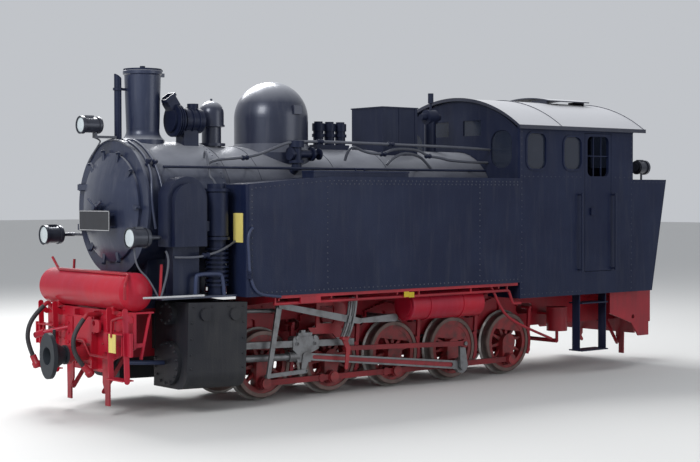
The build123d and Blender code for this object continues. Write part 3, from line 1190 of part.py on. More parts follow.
# Slide bars, held by the rear cylinder cover and by the motion bracket that also carries the links.
MOTION_STAY_X = -1390
RING_U = (-2193, -1780)
RING_V = (300, 590)
RING_HOLE = (-2148, -1945)
LINK_Y = (770, 782)
LINK_GAP = 30
LINK_OUT = LINK_Y[0] + 2 * (LINK_Y[1] - LINK_Y[0]) + LINK_GAP
with BuildPart() as slide_bars:
    for side in SIDES:
        with BuildSketch(gear_plane(side, BAR_Y[0])):
            with Locations(((BAR_U[0] + BAR_U[1]) / 2, (BAR_V[0] + BAR_V[1]) / 2)):
                Rectangle(BAR_U[1] - BAR_U[0], BAR_V[1] - BAR_V[0])
            with Locations(((CYL_U[1] + COVER + 0.3 + BAR_U[0]) / 2, (BAR_V[0] + BAR_V[1]) / 2)):
                Rectangle(BAR_U[0] - CYL_U[1] - COVER - 0.3, 46)
        outward(side, BAR_Y[1] - BAR_Y[0])
        with BuildSketch(gear_plane(side, BAR_Y[0] - 4)):
            with Locations((RING_U[1] - 120, (RING_V[0] + RING_V[1]) / 2)):
                RectangleRounded(240, RING_V[1] - RING_V[0], 105)
            with Locations(((RING_U[0] + RING_U[1] - 110) / 2, (RING_V[0] + RING_V[1]) / 2)):
                Rectangle(RING_U[1] - 110 - RING_U[0], RING_V[1] - RING_V[0])
            with Locations(((RING_HOLE[0] + RING_HOLE[1]) / 2, (RING_V[0] + RING_V[1]) / 2)):
                RectangleRounded(RING_HOLE[1] - RING_HOLE[0], RING_V[1] - RING_V[0] - 92, 30, mode=Mode.SUBTRACT)
            with BuildLine():
                Polyline(
                    (RING_U[0] - 110, RING_V[0] + 4),
                    (RING_U[1] - 60, RING_V[0] + 4),
                    (RING_U[1] - 60, RING_V[0] - 40),
                    (BAR_U[1], BAR_V[0] + 60),
                    (BAR_U[1], BAR_V[0]),
                    (BAR_U[1] - 120, BAR_V[0]),
                    (RING_U[1] - 180, RING_V[0] - 66),
                    (RING_U[0] - 60, RING_V[0] - 66),
                    close=True,
                )
            make_face()
        outward(side, 24)
        box((MOTION_STAY_X - 10, MOTION_STAY_X + 10), sorted((side * (FRAME_OUT + SEAT), side * (BAR_Y[0] - 4 - SEAT))), (SPRING_Z + 105, FRAME_TOP))
        bar(at_gear(side, BAR_Y[0] + 10, *TRUNNION), at_gear(side, LINK_Y[0] - 10.3, *TRUNNION), 26)
finish(slide_bars, "slide_bars")

# Crossheads: slippers around the slide bar, a body that takes the piston rod and the gudgeon pin, a drop arm.
HEAD_HALF = 175
HEAD_Y = (592, 688)
ROD_END = 38
with BuildPart() as crossheads:
    for side in SIDES:
        cu, cv = GEAR[side]["cross"]
        du, dv = GEAR[side]["drop"]
        with BuildSketch(gear_plane(side, HEAD_Y[0])):
            with BuildLine():
                Polyline(
                    (cu - HEAD_HALF + 20, BAR_V[1] + 45),
                    (cu + HEAD_HALF - 20, BAR_V[1] + 45),
                    (cu + HEAD_HALF, BAR_V[1] + 20),
                    (cu + HEAD_HALF, BAR_V[0] - 25),
                    (cu + 70, 40),
                    (cu + 70, -60),
                    (cu - 110, -60),
                    (cu - 130, 40),
                    (cu - HEAD_HALF, BAR_V[0] - 25),
                    (cu - HEAD_HALF, BAR_V[1] + 20),
                    close=True,
                )
            make_face()
        outward(side, HEAD_Y[1] - HEAD_Y[0])
        with BuildSketch(gear_plane(side, BAR_Y[0] - JOURNAL_GAP)):
            with Locations((cu, (BAR_V[0] + BAR_V[1]) / 2)):
                Rectangle(2 * HEAD_HALF + 20, BAR_V[1] - BAR_V[0] + 2 * JOURNAL_GAP)
        outward(side, BAR_Y[1] - BAR_Y[0] + 2 * JOURNAL_GAP, mode=Mode.SUBTRACT)
        with BuildSketch(gear_plane(side, 604)):
            with Locations((cu + 20, 0)):
                Rectangle(200, 132)
        outward(side, 72, mode=Mode.SUBTRACT)
        bar(at_gear(side, GEAR_Y, CYL_U[1] - 190, 0), at_gear(side, GEAR_Y, cu - 78, 0), ROD_END)
        bar(at_gear(side, GEAR_Y, cu - 210, 0), at_gear(side, GEAR_Y, cu - 78, 0), ROD_END + 16)
        bar(at_gear(side, HEAD_Y[0], cu, 0), at_gear(side, HEAD_Y[1] + 12, cu, 0), 32)
        for along, rise in ((-118, 140), (118, 140), (-118, 205), (118, 205)):
            bar(at_gear(side, HEAD_Y[1] - 7, cu + along, rise), at_gear(side, HEAD_Y[1] + 8, cu + along, rise), 24)
        with BuildSketch(gear_plane(side, GEAR_Y - 12)):
            with Locations((cu, BAR_V[1] + 62)):
                Rectangle(190, 42)
            with Locations((cu - 28, BAR_V[1] + 90)):
                Rectangle(56, 40)
        outward(side, 44)
        with BuildSketch(gear_plane(side, HEAD_Y[1])):
            link_bar((cu, 0), (du, dv), 100, 56)
        outward(side, 12)
        bar(at_gear(side, HEAD_Y[1], du, dv), at_gear(side, HEAD_Y[1] + 52, du, dv), 16)
finish(crossheads, "crossheads")

# Connecting rods: fluted, with a small end in the crosshead and a big end on the driven crank pin.
MAIN_Y = 612
MAIN_THICK = 56
BIG_R = 92
SMALL_R = 58
OUTER_PIN_R = 48
with BuildPart() as connecting_rods:
    for side in SIDES:
        pin, cross = GEAR[side]["pin"], GEAR[side]["cross"]
        with BuildSketch(gear_plane(side, MAIN_Y)):
            link_bar(cross, pin, 78, 100)
            with Locations(pin):
                Circle(BIG_R)
            with Locations(cross):
                Circle(SMALL_R)
            with Locations(pin):
                Circle(OUTER_PIN_R + JOURNAL_GAP, mode=Mode.SUBTRACT)
            with Locations(cross):
                Circle(32 + JOURNAL_GAP, mode=Mode.SUBTRACT)
        outward(side, MAIN_THICK)
        run = Vector(*pin) - Vector(*cross)
        near = Vector(*cross) + run * (130 / run.length)
        far = Vector(*pin) - run * (170 / run.length)
        with BuildSketch(gear_plane(side, MAIN_Y + MAIN_THICK - 14)):
            link_bar((near.X, near.Y), (far.X, far.Y), 42, 54)
        outward(side, 14, mode=Mode.SUBTRACT)
finish(connecting_rods, "connecting_rods")

# Return cranks on the outer journals of the driven crank pins.
RETURN_Y = MAIN_Y + MAIN_THICK + 6
RETURN_THICK = 34
ECC_PIN_R = 24
with BuildPart() as return_cranks:
    for side in SIDES:
        pin, ecc = GEAR[side]["pin"], GEAR[side]["ecc"]
        with BuildSketch(gear_plane(side, RETURN_Y)):
            link_bar(pin, ecc, 118, 76)
        outward(side, RETURN_THICK)
        bar(at_gear(side, MAIN_Y - 24, *pin), at_gear(side, RETURN_Y, *pin), OUTER_PIN_R)
        bar(at_gear(side, RETURN_Y + RETURN_THICK, *ecc), at_gear(side, RETURN_Y + RETURN_THICK + 66, *ecc), ECC_PIN_R)
finish(return_cranks, "return_cranks")

# Eccentric rods, from the return cranks to the feet of the links.
ECC_ROD_Y = RETURN_Y + RETURN_THICK + 6
ECC_ROD_THICK = 44
FOOT_PIN_R = 18
with BuildPart() as eccentric_rods:
    for side in SIDES:
        ecc, foot = GEAR[side]["ecc"], GEAR[side]["foot"]
        with BuildSketch(gear_plane(side, ECC_ROD_Y)):
            link_bar(foot, ecc, 50, 56)
            with Locations(ecc):
                Circle(50)
            with Locations(foot):
                Circle(36)
            with Locations(ecc):
                Circle(ECC_PIN_R + JOURNAL_GAP, mode=Mode.SUBTRACT)
            with Locations(foot):
                Circle(FOOT_PIN_R + JOURNAL_GAP, mode=Mode.SUBTRACT)
        outward(side, ECC_ROD_THICK)
finish(eccentric_rods, "eccentric_rods")

# Expansion links: two curved cheeks with a slot for the die, a trunnion and a foot lever.
LINK_ARC = 1090
with BuildPart() as expansion_links:
    for side in SIDES:
        lean = -LINK_LEAN + GEAR[side]["swing"]
        foot = GEAR[side]["foot"]
        for layer in (0, 1):
            y = LINK_Y[0] + layer * (LINK_GAP + LINK_Y[1] - LINK_Y[0])
            with BuildSketch(leaned(side, y, TRUNNION, lean)):
                with BuildLine() as cheek:
                    ThreePointArc((-36, -LINK_HALF), (-12, 0), (-36, LINK_HALF))
                    Line((-36, LINK_HALF), (24, LINK_HALF))
                    ThreePointArc((24, LINK_HALF), (48, 0), (24, -LINK_HALF))
                    Line((24, -LINK_HALF), (-36, -LINK_HALF))
                make_face()
                offset(amount=14)
                with BuildLine():
                    ThreePointArc((-26, -LINK_HALF + 16), (-2, 0), (-26, LINK_HALF - 16))
                    Line((-26, LINK_HALF - 16), (14, LINK_HALF - 16))
                    ThreePointArc((14, LINK_HALF - 16), (38, 0), (14, -LINK_HALF + 16))
                    Line((14, -LINK_HALF + 16), (-26, -LINK_HALF + 16))
                make_face(mode=Mode.SUBTRACT)
            outward(side, LINK_Y[1] - LINK_Y[0])
        for end in (-1, 1):
            with BuildSketch(gear_plane(side, LINK_Y[1])):
                tip = turned(LINK_HALF + 2, 90 * end + lean)
                with Locations((TRUNNION[0] + tip[0], TRUNNION[1] + tip[1])):
                    Circle(22)
            outward(side, LINK_GAP)
        with BuildSketch(gear_plane(side, LINK_Y[0] - 10)):
            with Locations(TRUNNION):
                Circle(52)
        outward(side, 10)
        with BuildSketch(gear_plane(side, LINK_Y[0] - 6)):
            low = turned(LINK_HALF - 30, -90 + lean)
            link_bar((TRUNNION[0] + low[0], TRUNNION[1] + low[1]), foot, 70, 56)
            link_bar(foot, (foot[0] - 23, foot[1] - 208), 56, 44)
        outward(side, 12)
        bar(at_gear(side, ECC_ROD_Y - 4, *foot), at_gear(side, LINK_Y[0] - 6, *foot), FOOT_PIN_R)
finish(expansion_links, "expansion_links")

# Radius rods from the links to the combination levers, with the lifting arms and their shafts behind.
RADIUS_Y = (LINK_Y[1] + 4, LINK_Y[1] + LINK_GAP - 4)
LEVER_Y = (756, 780)
UNION_Y = (728, 752)
ROD_TAIL = (-1723, 377)
ARM_END = (-1194, 401)
SPINDLE_DROP = 60
with BuildPart() as radius_rods:
    for side in SIDES:
        with BuildSketch(gear_plane(side, RADIUS_Y[0])):
            link_bar(LEVER_TOP, TRUNNION, 60, 78)
            link_bar(TRUNNION, ROD_TAIL, 78, 60)
        outward(side, RADIUS_Y[1] - RADIUS_Y[0])
        bar(at_gear(side, LINK_Y[1] + 0.3, *TRUNNION), at_gear(side, LINK_OUT - 12.3, *TRUNNION), 26)
        bar(at_gear(side, LEVER_Y[0] - 2, *LEVER_TOP), at_gear(side, RADIUS_Y[0], *LEVER_TOP), 15)
        with BuildSketch(gear_plane(side, RADIUS_Y[0] - 34)):
            link_bar(ROD_TAIL, ARM_END, 46, 88)
        outward(side, 30)
        bar(at_gear(side, RADIUS_Y[0] - 10, *ROD_TAIL), at_gear(side, RADIUS_Y[1], *ROD_TAIL), 18)
        bar(at_gear(side, FRAME_OUT + 0.3, *ARM_END), at_gear(side, RADIUS_Y[0] - 20, *ARM_END), 32)
finish(radius_rods, "radius_rods")

# Combination levers, hung between the radius rods and the union links, with the valve spindles.
with BuildPart() as combination_levers:
    for side in SIDES:
        lever_foot, drop = GEAR[side]["lever_foot"], GEAR[side]["drop"]
        run = Vector(*lever_foot) - Vector(*LEVER_TOP)
        spindle = Vector(*LEVER_TOP) + run * (SPINDLE_DROP / run.length)
        with BuildSketch(gear_plane(side, LEVER_Y[0])):
            link_bar(LEVER_TOP, lever_foot, 72, 46)
            with Locations(LEVER_TOP):
                Circle(15 + JOURNAL_GAP, mode=Mode.SUBTRACT)
            with Locations(lever_foot):
                Circle(12 + JOURNAL_GAP, mode=Mode.SUBTRACT)
        outward(side, LEVER_Y[1] - LEVER_Y[0])
        with BuildSketch(gear_plane(side, UNION_Y[0])):
            link_bar(lever_foot, drop, 44)
            with Locations(drop):
                Circle(16 + JOURNAL_GAP, mode=Mode.SUBTRACT)
        outward(side, UNION_Y[1] - UNION_Y[0])
        bar(at_gear(side, UNION_Y[0], *lever_foot), at_gear(side, LEVER_Y[1], *lever_foot), 12)
        bar(at_gear(side, GEAR_Y, CYL_U[1] - 120, VALVE_V), at_gear(side, GEAR_Y, spindle.X + 30, VALVE_V), 22)
        bar(at_gear(side, GEAR_Y, spindle.X, VALVE_V), at_gear(side, LEVER_Y[0], spindle.X, VALVE_V), 16)
finish(combination_levers, "combination_levers")

# Brake gear: a shoe behind each wheel on its hanger, cross beams, a pull rod and the brake cylinders.
SHOE_GAP = 8
SHOE_R = TREAD_R + SHOE_GAP
SHOE_THICK = 42
SHOE_Y = (WHEEL_BACK + FLANGE_WIDTH + 8, WHEEL_FACE - 12)
HANGER_X = 430
HANGER_Z = 800
PULL_Z = 262
BRAKE_CYL = (2500, 560, 500, 800, 130)
with BuildPart() as brake_gear:
    for x in AXLE_X.values():
        for side in SIDES:
            with BuildSketch(upright(side, SHOE_Y[0], x, AXLE_Z)):
                with BuildLine():
                    inner, outer = SHOE_R, SHOE_R + SHOE_THICK
                    ThreePointArc(turned(inner, -24), (inner, 0), turned(inner, 24))
                    Line(turned(inner, 24), turned(outer, 24))
                    ThreePointArc(turned(outer, 24), (outer, 0), turned(outer, -24))
                    Line(turned(outer, -24), turned(inner, -24))
                make_face()
            outward(side, SHOE_Y[1] - SHOE_Y[0])
            with BuildSketch(upright(side, SHOE_Y[0] + 22, x)):
                link_bar((HANGER_X, HANGER_Z), (SHOE_R + 24, AXLE_Z + 20), 46)
                link_bar((SHOE_R + 24, AXLE_Z + 20), (SHOE_R + 32, PULL_Z + 10), 46)
            outward(side, 30)
            bar((x + HANGER_X, side * (FRAME_OUT + 0.3), HANGER_Z), (x + HANGER_X, side * (SHOE_Y[0] + 60), HANGER_Z), 20)
        bar((x + SHOE_R + 32, -SHOE_Y[0] - 30, PULL_Z + 10), (x + SHOE_R + 32, SHOE_Y[0] + 30, PULL_Z + 10), 20)
    bx, by, z0, z1, radius = BRAKE_CYL
    bar((AXLE_X[1] + SHOE_R, 0, PULL_Z - 10 - 15 - SEAT), (bx - 20 - SEAT, 0, PULL_Z - 10 - 15 - SEAT), 15)
    for side in SIDES:
        bar((bx, side * by, z0), (bx, side * by, z1), radius)
        bar((bx, side * by, z0 - 140), (bx, side * by, z0), 20)
        box((bx - 90, bx + 90), sorted((side * (FRAME_OUT + 0.3), side * by)), (700, 724))
    bar((bx, -by, z0 - 130), (bx, by, z0 - 130), 26)
    box((bx - 20, bx + 20), (-18, 18), (PULL_Z - 40, z0 - 130))
finish(brake_gear, "brake_gear")

# Cab steps: two stiles and two treads under each door.
STEP_X = (2350, 2830)
STEP_LEVELS = (285, 870)
with BuildPart() as cab_steps:
    for side in SIDES:
        for x in STEP_X:
            box((x - 6, x + 6), sorted((side * 960, side * (SIDE_Y - 20))), (STEP_LEVELS[0], CAB_LOW - 0.3))
        for z in STEP_LEVELS:
            box((STEP_X[0], STEP_X[1]), sorted((side * 900, side * (SIDE_Y + 20))), (z, z + 14))
finish(cab_steps, "cab_steps")

# Handrails: at the cab doors, along the boiler, around the smokebox and over the front reservoir.
RAIL_R = 14
DOOR_RAIL_X = (2310, 2930)
DOOR_RAIL_Z = (1275, 2235)
BOILER_RAIL_Z = 2500
BOILER_RAIL_X = (-3400, 1100)
BOILER_RAIL_Y = 700
with BuildPart() as handrails:
    for side in SIDES:
        for x in DOOR_RAIL_X:
            y = side * (SIDE_Y + 55)
            bar((x, y, DOOR_RAIL_Z[0]), (x, y, DOOR_RAIL_Z[1]), RAIL_R)
            for z in (DOOR_RAIL_Z[0] + 20, DOOR_RAIL_Z[1] - 20):
                bar((x, side * (SIDE_Y + 0.3), z), (x, y, z), RAIL_R - 3)
        y = side * BOILER_RAIL_Y
        bar((BOILER_RAIL_X[0], y, BOILER_RAIL_Z), (BOILER_RAIL_X[1], y, BOILER_RAIL_Z), RAIL_R)
        for x in (-3300, -2750, -2250, -1350, -600, 150, 1000):
            bar((x, side * 450, BOILER_RAIL_Z), (x, y, BOILER_RAIL_Z), RAIL_R - 3)
    bar((SMOKEBOX_FRONT, 0, BOILER_Z), (SMOKEBOX_REAR, 0, BOILER_Z), SMOKEBOX_R + 0.3, Mode.SUBTRACT)
    bar((SMOKEBOX_REAR, 0, BOILER_Z), (CAB_FRONT, 0, BOILER_Z), BOILER_R + 0.3, Mode.SUBTRACT)
finish(handrails, "handrails")

# Red pipes: the long one under each tank, the front standpipes and the slanting grab bars.
HOSE_R = 24
NEAR_HOSE = ((-4055, -240, 975), (-4145, -240, 870), (-4182, -240, 735), (-4140, -240, 595), (-4045, -240, 490))
FAR_HOSE = ((-4045, 620, 1062), (-4160, 620, 965), (-4232, 620, 830), (-4232, 620, 675), (-4165, 620, 530))
with BuildPart() as brake_pipes:
    for side in SIDES:
        tube([(-2300, side * 1060, 1088), (1130, side * 1060, 1088), (1200, side * 1060, 930), (1330, side * 1060, 930)], 17, 40)
        for x in (-2290, -1900, -1200, -300, 500, 1090):
            box((x - 9, x + 9), sorted((side * 1052, side * 1078)), (1088, TANK_LOW - 0.3))
        bar((-3560, side * 880, PLATFORM_Z[1] + 1), (-3540, side * 880, 1529), RAIL_R)
    for side in SIDES:
        box((-2250, 1250), sorted((side * 1070.3, side * 1094)), (1142, TANK_LOW - 0.3))
        box((-1979, -1714), sorted((side * 1070.3, side * 1100)), (1083, 1150))
    lean = radians(62)
    over = AIR_R + 14 + SEAT
    tx, tz = TANK_X - over * cos(lean), AIR_Z + over * sin(lean)
    tube([(tx + 10, 720, tz + 120), (tx, 560, tz), (tx, -840, tz), (-3985, -925, 1335), (-3985, -925, 1200)], 14, 45)
    tube([(-3942.3, 165, 610), (-3942.3, 131, 745), (-3942.3, -30, 745), (-3942.3, -150, 608), (-3942.3, -551.7, 600)], 12, 26)
    tube([(-4002.3, -690, 820), (-4002.3, -700, 985), (-4002.3, -790, 1010), (-4002.3, -900, 1030)], 12, 26)
    for hose in (NEAR_HOSE, FAR_HOSE):
        top = Vector(*hose[0])
        way = (Vector(*hose[1]) - top).normalized()
        knee = top - way * 60
        tube([(-BEAM_OUT - 0.3, top.Y, 1020), (-BEAM_OUT - 70, top.Y, 1020), knee, top - way * 0.3], 22, 24)
finish(brake_pipes, "brake_pipes")

# Black and blue pipes on the boiler and in front of the left tank.
with BuildPart() as boiler_pipes:
    for side in SIDES:
        tube([(-2990, side * 480, 1640), (-2990, side * 640, 1450), (-2990, side * 640, PLATFORM_Z[1] + SEAT)], 60, 90)
    bar((SMOKEBOX_FRONT, 0, BOILER_Z), (SMOKEBOX_REAR, 0, BOILER_Z), SMOKEBOX_R + 0.3, Mode.SUBTRACT)
finish(boiler_pipes, "boiler_pipes")

# Lamps: three in front and two behind, round drums with a lens ring and a bracket.
LAMPS = ((-3910, -880, 1795, 105, 210, -1), (-3910, 880, 1795, 105, 210, -1), (-3950, 0, 2930, 92, 230, -1))
LAMPS += ((4040, -700, 2570, 95, 190, 1), (4040, 700, 2570, 95, 190, 1))
with BuildPart() as lamps:
    for x, y, z, radius, depth, way in LAMPS:
        bar((x, y, z), (x - way * 34, y, z), radius)
        bar((x - way * 34, y, z), (x - way * depth, y, z), radius - 14)
        bar((x - way * (depth - 40), y, z), (x - way * (depth - 16), y, z), radius - 4)
        bar((x - way * depth, y, z), (x - way * (depth + 16), y, z), radius - 40)
        box(sorted((x - way * 60, x - way * 150)), (y - 22, y + 22), (z, z + radius + 6))
        bar((x, y, z), (x - way * 14, y, z), radius - 12, Mode.SUBTRACT)
    for side in SIDES:
        tube([(-3760, side * 880, 1795), (-3540, side * 880, 1795), (-3540, side * 560, 1795)], 20, 45)
        bar((BUNKER_TOP_X - PLATE / 2, side * 700, 2570), (BUNKER_TOP_X - PLATE / 2, side * 700, WAIST + SEAT), 14)
    box((-3780, -3542), (-30, 30), (2800, 2824))
    box((-3566, -3542), (-30, 30), (2740, 2824))
    box((-3790, -3766), (-30, 30), (2800, 2860))
    bar((SMOKEBOX_FRONT - 7, 0, BOILER_Z), (SMOKEBOX_FRONT + 26, 0, BOILER_Z), SMOKEBOX_R + 14.3, Mode.SUBTRACT)
    bar((SMOKEBOX_FRONT, 0, BOILER_Z), (SMOKEBOX_REAR, 0, BOILER_Z), SMOKEBOX_R + 0.3, Mode.SUBTRACT)
finish(lamps, "lamps")

# Brake hoses at the front and the coupling heads on their ends.
for name, route in (("brake_hose_near", NEAR_HOSE), ("brake_hose_far", FAR_HOSE)):
    bends = []
    for before, at, after in zip(route, route[1:], route[2:]):
        first, second = Vector(at) - Vector(before), Vector(after) - Vector(at)
        turn = radians(first.get_angle(second))
        bends.append(0.45 * min(first.length, second.length) / tan(turn / 2))
    print(name, "bend radii", [round(r) for r in bends])
    with BuildPart() as hose:
        with BuildLine() as path:
            FilletPolyline(*route, radius=bends)
        with BuildSketch(Plane(origin=path.line @ 0, z_dir=path.line % 0)):
            Circle(HOSE_R)
        sweep(path=path.line)
    length = sum(edge.length for edge in path.edges())
    print(name, "length", round(length), "volume", round(hose.part.volume), "round", round(length * pi * HOSE_R ** 2))
    finish(hose, name)

with BuildPart() as hose_couplings:
    for route in (NEAR_HOSE, FAR_HOSE):
        end = Vector(route[-1])
        way = (end - Vector(route[-2])).normalized()
        bar(end + way * 0.3, end + way * 70, 34)
        bar(end + way * 60, end + way * 110, 46)
finish(hose_couplings, "hose_couplings")
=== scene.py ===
import math

import bmesh
import bpy
from mathutils import Matrix, Vector


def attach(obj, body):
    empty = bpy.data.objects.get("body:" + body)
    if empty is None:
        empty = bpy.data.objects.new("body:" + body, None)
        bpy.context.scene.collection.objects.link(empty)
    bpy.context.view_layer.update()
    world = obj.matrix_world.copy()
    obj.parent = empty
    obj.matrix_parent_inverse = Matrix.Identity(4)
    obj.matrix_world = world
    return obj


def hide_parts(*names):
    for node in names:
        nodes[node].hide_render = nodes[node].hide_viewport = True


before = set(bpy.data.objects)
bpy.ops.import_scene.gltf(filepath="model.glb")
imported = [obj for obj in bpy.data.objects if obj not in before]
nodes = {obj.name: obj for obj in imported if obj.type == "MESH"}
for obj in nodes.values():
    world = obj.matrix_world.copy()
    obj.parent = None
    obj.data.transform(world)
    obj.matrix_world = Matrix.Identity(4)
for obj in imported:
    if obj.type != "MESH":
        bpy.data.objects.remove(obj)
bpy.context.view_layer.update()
ENGINE = "engine"
LEFT, RIGHT = -1, 1

# Camera at the photograph's viewing angle.
YAW, PITCH, ROLL = math.radians(39.255), math.radians(-1.312), math.radians(-0.129)
EYE = Vector((-11.3544, -13.3869, 2.1907))
forward = Vector((math.sin(YAW) * math.cos(PITCH), math.cos(YAW) * math.cos(PITCH), math.sin(PITCH)))
level = forward.cross(Vector((0, 0, 1))).normalized()
above = level.cross(forward)
right = level * math.cos(ROLL) + above * math.sin(ROLL)
up = right.cross(forward)
camera_data = bpy.data.cameras.new("camera")
camera_data.sensor_width = 36
camera_data.lens = 1481.826 / 700 * 36
camera_data.clip_end = 300
camera = bpy.data.objects.new("camera", camera_data)
turn = Matrix((right, up, -forward)).transposed().to_4x4()
camera.matrix_world = Matrix.Translation(EYE) @ turn
bpy.context.scene.collection.objects.link(camera)
bpy.context.scene.camera = camera


# Colours, as linear red, green and blue. Reflections on black paint are cool, on other paint plain.
COOL, PLAIN = (0.72, 0.8, 1), (1, 1, 1)
NIGHT, NIGHT_DULL = (0.0068, 0.0098, 0.027), (0.0125, 0.0165, 0.038)
TANK, TANK_DULL = (0.0062, 0.0096, 0.031), (0.0105, 0.0155, 0.041)
SOOT = (0.04, 0.042, 0.056)
RED, RED_DULL = (0.35, 0.012, 0.024), (0.21, 0.011, 0.02)
MOTION_RED, MOTION_RED_DULL = (0.31, 0.014, 0.022), (0.15, 0.012, 0.016)
GRIME = (0.03, 0.02, 0.024)
# Pale colour of the painted highlight on the boiler, smokebox and dome tops.
TOP_GLARE = (0.27, 0.28, 0.31)
STEEL = (0.2, 0.205, 0.215)
GREASE = (0.05, 0.045, 0.042)

# Places, in metres.
AXLE_Z, AXLE_PITCH, MIDDLE_AXLE_X = 0.395, 0.93, -0.15
TYRE_R = 0.3155
MOTION_LEAN = 1.7
MOTION_X = 0.78
MOTION_SLOPE = 0.0297
SIDE_Y = 1.1
BARREL_Z = 2.09
HOSE_R = 0.024


# Material building blocks.
def tree(name):
    made = bpy.data.materials.new(name)
    made.use_nodes = True
    net = made.node_tree
    return made, net, net.nodes["Principled BSDF"]


def node(net, kind, **values):
    made = net.nodes.new(kind)
    for key, value in values.items():
        if key.startswith("in_"):
            made.inputs[int(key[3:])].default_value = value
        else:
            setattr(made, key, value)
    return made


def noise(net, scale, detail=4, stretch=(1, 1, 1), rough=0.55):
    place = node(net, "ShaderNodeTexCoord")
    shift = node(net, "ShaderNodeMapping")
    shift.inputs["Scale"].default_value = stretch
    made = node(net, "ShaderNodeTexNoise")
    made.inputs["Scale"].default_value = scale
    made.inputs["Detail"].default_value = detail
    made.inputs["Roughness"].default_value = rough
    net.links.new(place.outputs["Object"], shift.inputs["Vector"])
    net.links.new(shift.outputs["Vector"], made.inputs["Vector"])
    return made.outputs["Fac"]


def ramp(net, source, low, high, first=(0, 0, 0, 1), last=(1, 1, 1, 1)):
    made = node(net, "ShaderNodeValToRGB")
    made.color_ramp.elements[0].position = low
    made.color_ramp.elements[1].position = high
    made.color_ramp.elements[0].color = first
    made.color_ramp.elements[1].color = last
    net.links.new(source, made.inputs["Fac"])
    return made.outputs["Color"]


def mix(net, factor, first, second):
    made = node(net, "ShaderNodeMix", data_type="RGBA")
    for socket, value in ((made.inputs[0], factor), (made.inputs[6], first), (made.inputs[7], second)):
        if isinstance(value, (int, float)):
            socket.default_value = value
        elif isinstance(value, tuple):
            socket.default_value = value if len(value) == 4 else value + (1,)
        else:
            net.links.new(value, socket)
    return made.outputs[2]


def math_node(net, kind, first, second=0.0):
    made = node(net, "ShaderNodeMath", operation=kind)
    for socket, value in ((made.inputs[0], first), (made.inputs[1], second)):
        if isinstance(value, (int, float)):
            socket.default_value = value
        else:
            net.links.new(value, socket)
    return made.outputs[0]


def upward(net):
    """One on surfaces that face up, where dust and soot settle and where the tops get their painted highlight."""
    shape = node(net, "ShaderNodeNewGeometry")
    split = node(net, "ShaderNodeSeparateXYZ")
    net.links.new(shape.outputs["Normal"], split.inputs[0])
    return math_node(net, "MAXIMUM", split.outputs["Z"], 0.0)


def bump(net, shader, source, strength, distance):
    made = node(net, "ShaderNodeBump")
    made.inputs["Strength"].default_value = strength
    made.inputs["Distance"].default_value = distance
    net.links.new(source, made.inputs["Height"])
    net.links.new(made.outputs["Normal"], shader.inputs["Normal"])


def paint(name, base, dull, dust, dusty=0.35, rough=0.34, wave=0.25, coat=0.1, gloss=0.3, tint=COOL, highlight_and_colour_mask=None):
    """Brushed-on paint: patchy tone, dust on top, faint streaks down the sides and a slightly wavy plate."""
    made, net, shader = tree(name)
    shader.inputs["Specular IOR Level"].default_value = gloss
    shader.inputs["Specular Tint"].default_value = tuple(tint) + (1,)
    patches = ramp(net, noise(net, 1.7, 5), 0.38, 0.68)
    tone = mix(net, patches, base, dull)
    streaks = ramp(net, noise(net, 5.5, 6, (3.2, 3.2, 0.35)), 0.5, 0.78)
    tone = mix(net, math_node(net, "MULTIPLY", streaks, 0.32), tone, dust)
    settled = math_node(net, "MULTIPLY", upward(net), ramp(net, noise(net, 6, 5), 0.3, 0.7))
    tone = mix(net, math_node(net, "MULTIPLY", settled, dusty), tone, dust)
    # Laid over the paint where given: a painted highlight on the upward faces of the boiler, smokebox, bunker and roof,
    # and a darker colour on the coupler heads.
    if highlight_and_colour_mask:
        tone = mix(net, highlight_and_colour_mask[0](net), tone, highlight_and_colour_mask[1])
    net.links.new(tone, shader.inputs["Base Color"])
    shine = node(net, "ShaderNodeMapRange")
    shine.inputs["To Min"].default_value = rough - 0.07
    shine.inputs["To Max"].default_value = rough + 0.2
    net.links.new(noise(net, 3.1, 6), shine.inputs["Value"])
    net.links.new(shine.outputs["Result"], shader.inputs["Roughness"])
    shader.inputs["Coat Weight"].default_value = coat
    shader.inputs["Coat Roughness"].default_value = 0.22
    height = mix(net, 0.35, noise(net, 2.2, 2), noise(net, 60, 3))
    bump(net, shader, height, wave, 0.012)
    return made


def steel(name, base, grime, rough, dirty, painted=None):
    """Worked steel with oil and brake dust in patches, and paint where a mask says so."""
    made, net, shader = tree(name)
    soiled = ramp(net, noise(net, 9, 6), 0.46, 0.7)
    tone = mix(net, math_node(net, "MULTIPLY", soiled, dirty), base, grime)
    shader.inputs["Metallic"].default_value = 0.7
    if painted:
        mask = painted[0](net)
        coat = mix(net, math_node(net, "MULTIPLY", soiled, 0.55), painted[1], painted[2])
        tone = mix(net, mask, tone, coat)
        net.links.new(math_node(net, "MULTIPLY", math_node(net, "SUBTRACT", 1.0, mask), 0.7), shader.inputs["Metallic"])
    net.links.new(tone, shader.inputs["Base Color"])
    shine = node(net, "ShaderNodeMapRange")
    shine.inputs["To Min"].default_value = rough - 0.06
    shine.inputs["To Max"].default_value = rough + 0.25
    net.links.new(noise(net, 15.3, 5), shine.inputs["Value"])
    net.links.new(shine.outputs["Result"], shader.inputs["Roughness"])
    bump(net, shader, noise(net, 120, 3), 0.12, 0.002)
    return made


def place_of(net):
    """The X, Y and Z of a point on the object, in metres."""
    place = node(net, "ShaderNodeTexCoord")
    split = node(net, "ShaderNodeSeparateXYZ")
    net.links.new(place.outputs["Object"], split.inputs[0])
    return split.outputs["X"], split.outputs["Y"], split.outputs["Z"]


def beyond(axis, limit, both=False):
    """A mask that is one where a coordinate, or its size, passes a limit."""
    def made(net):
        value = place_of(net)[axis]
        if both:
            value = math_node(net, "ABSOLUTE", value)
        return math_node(net, "GREATER_THAN", value, limit)
    return made


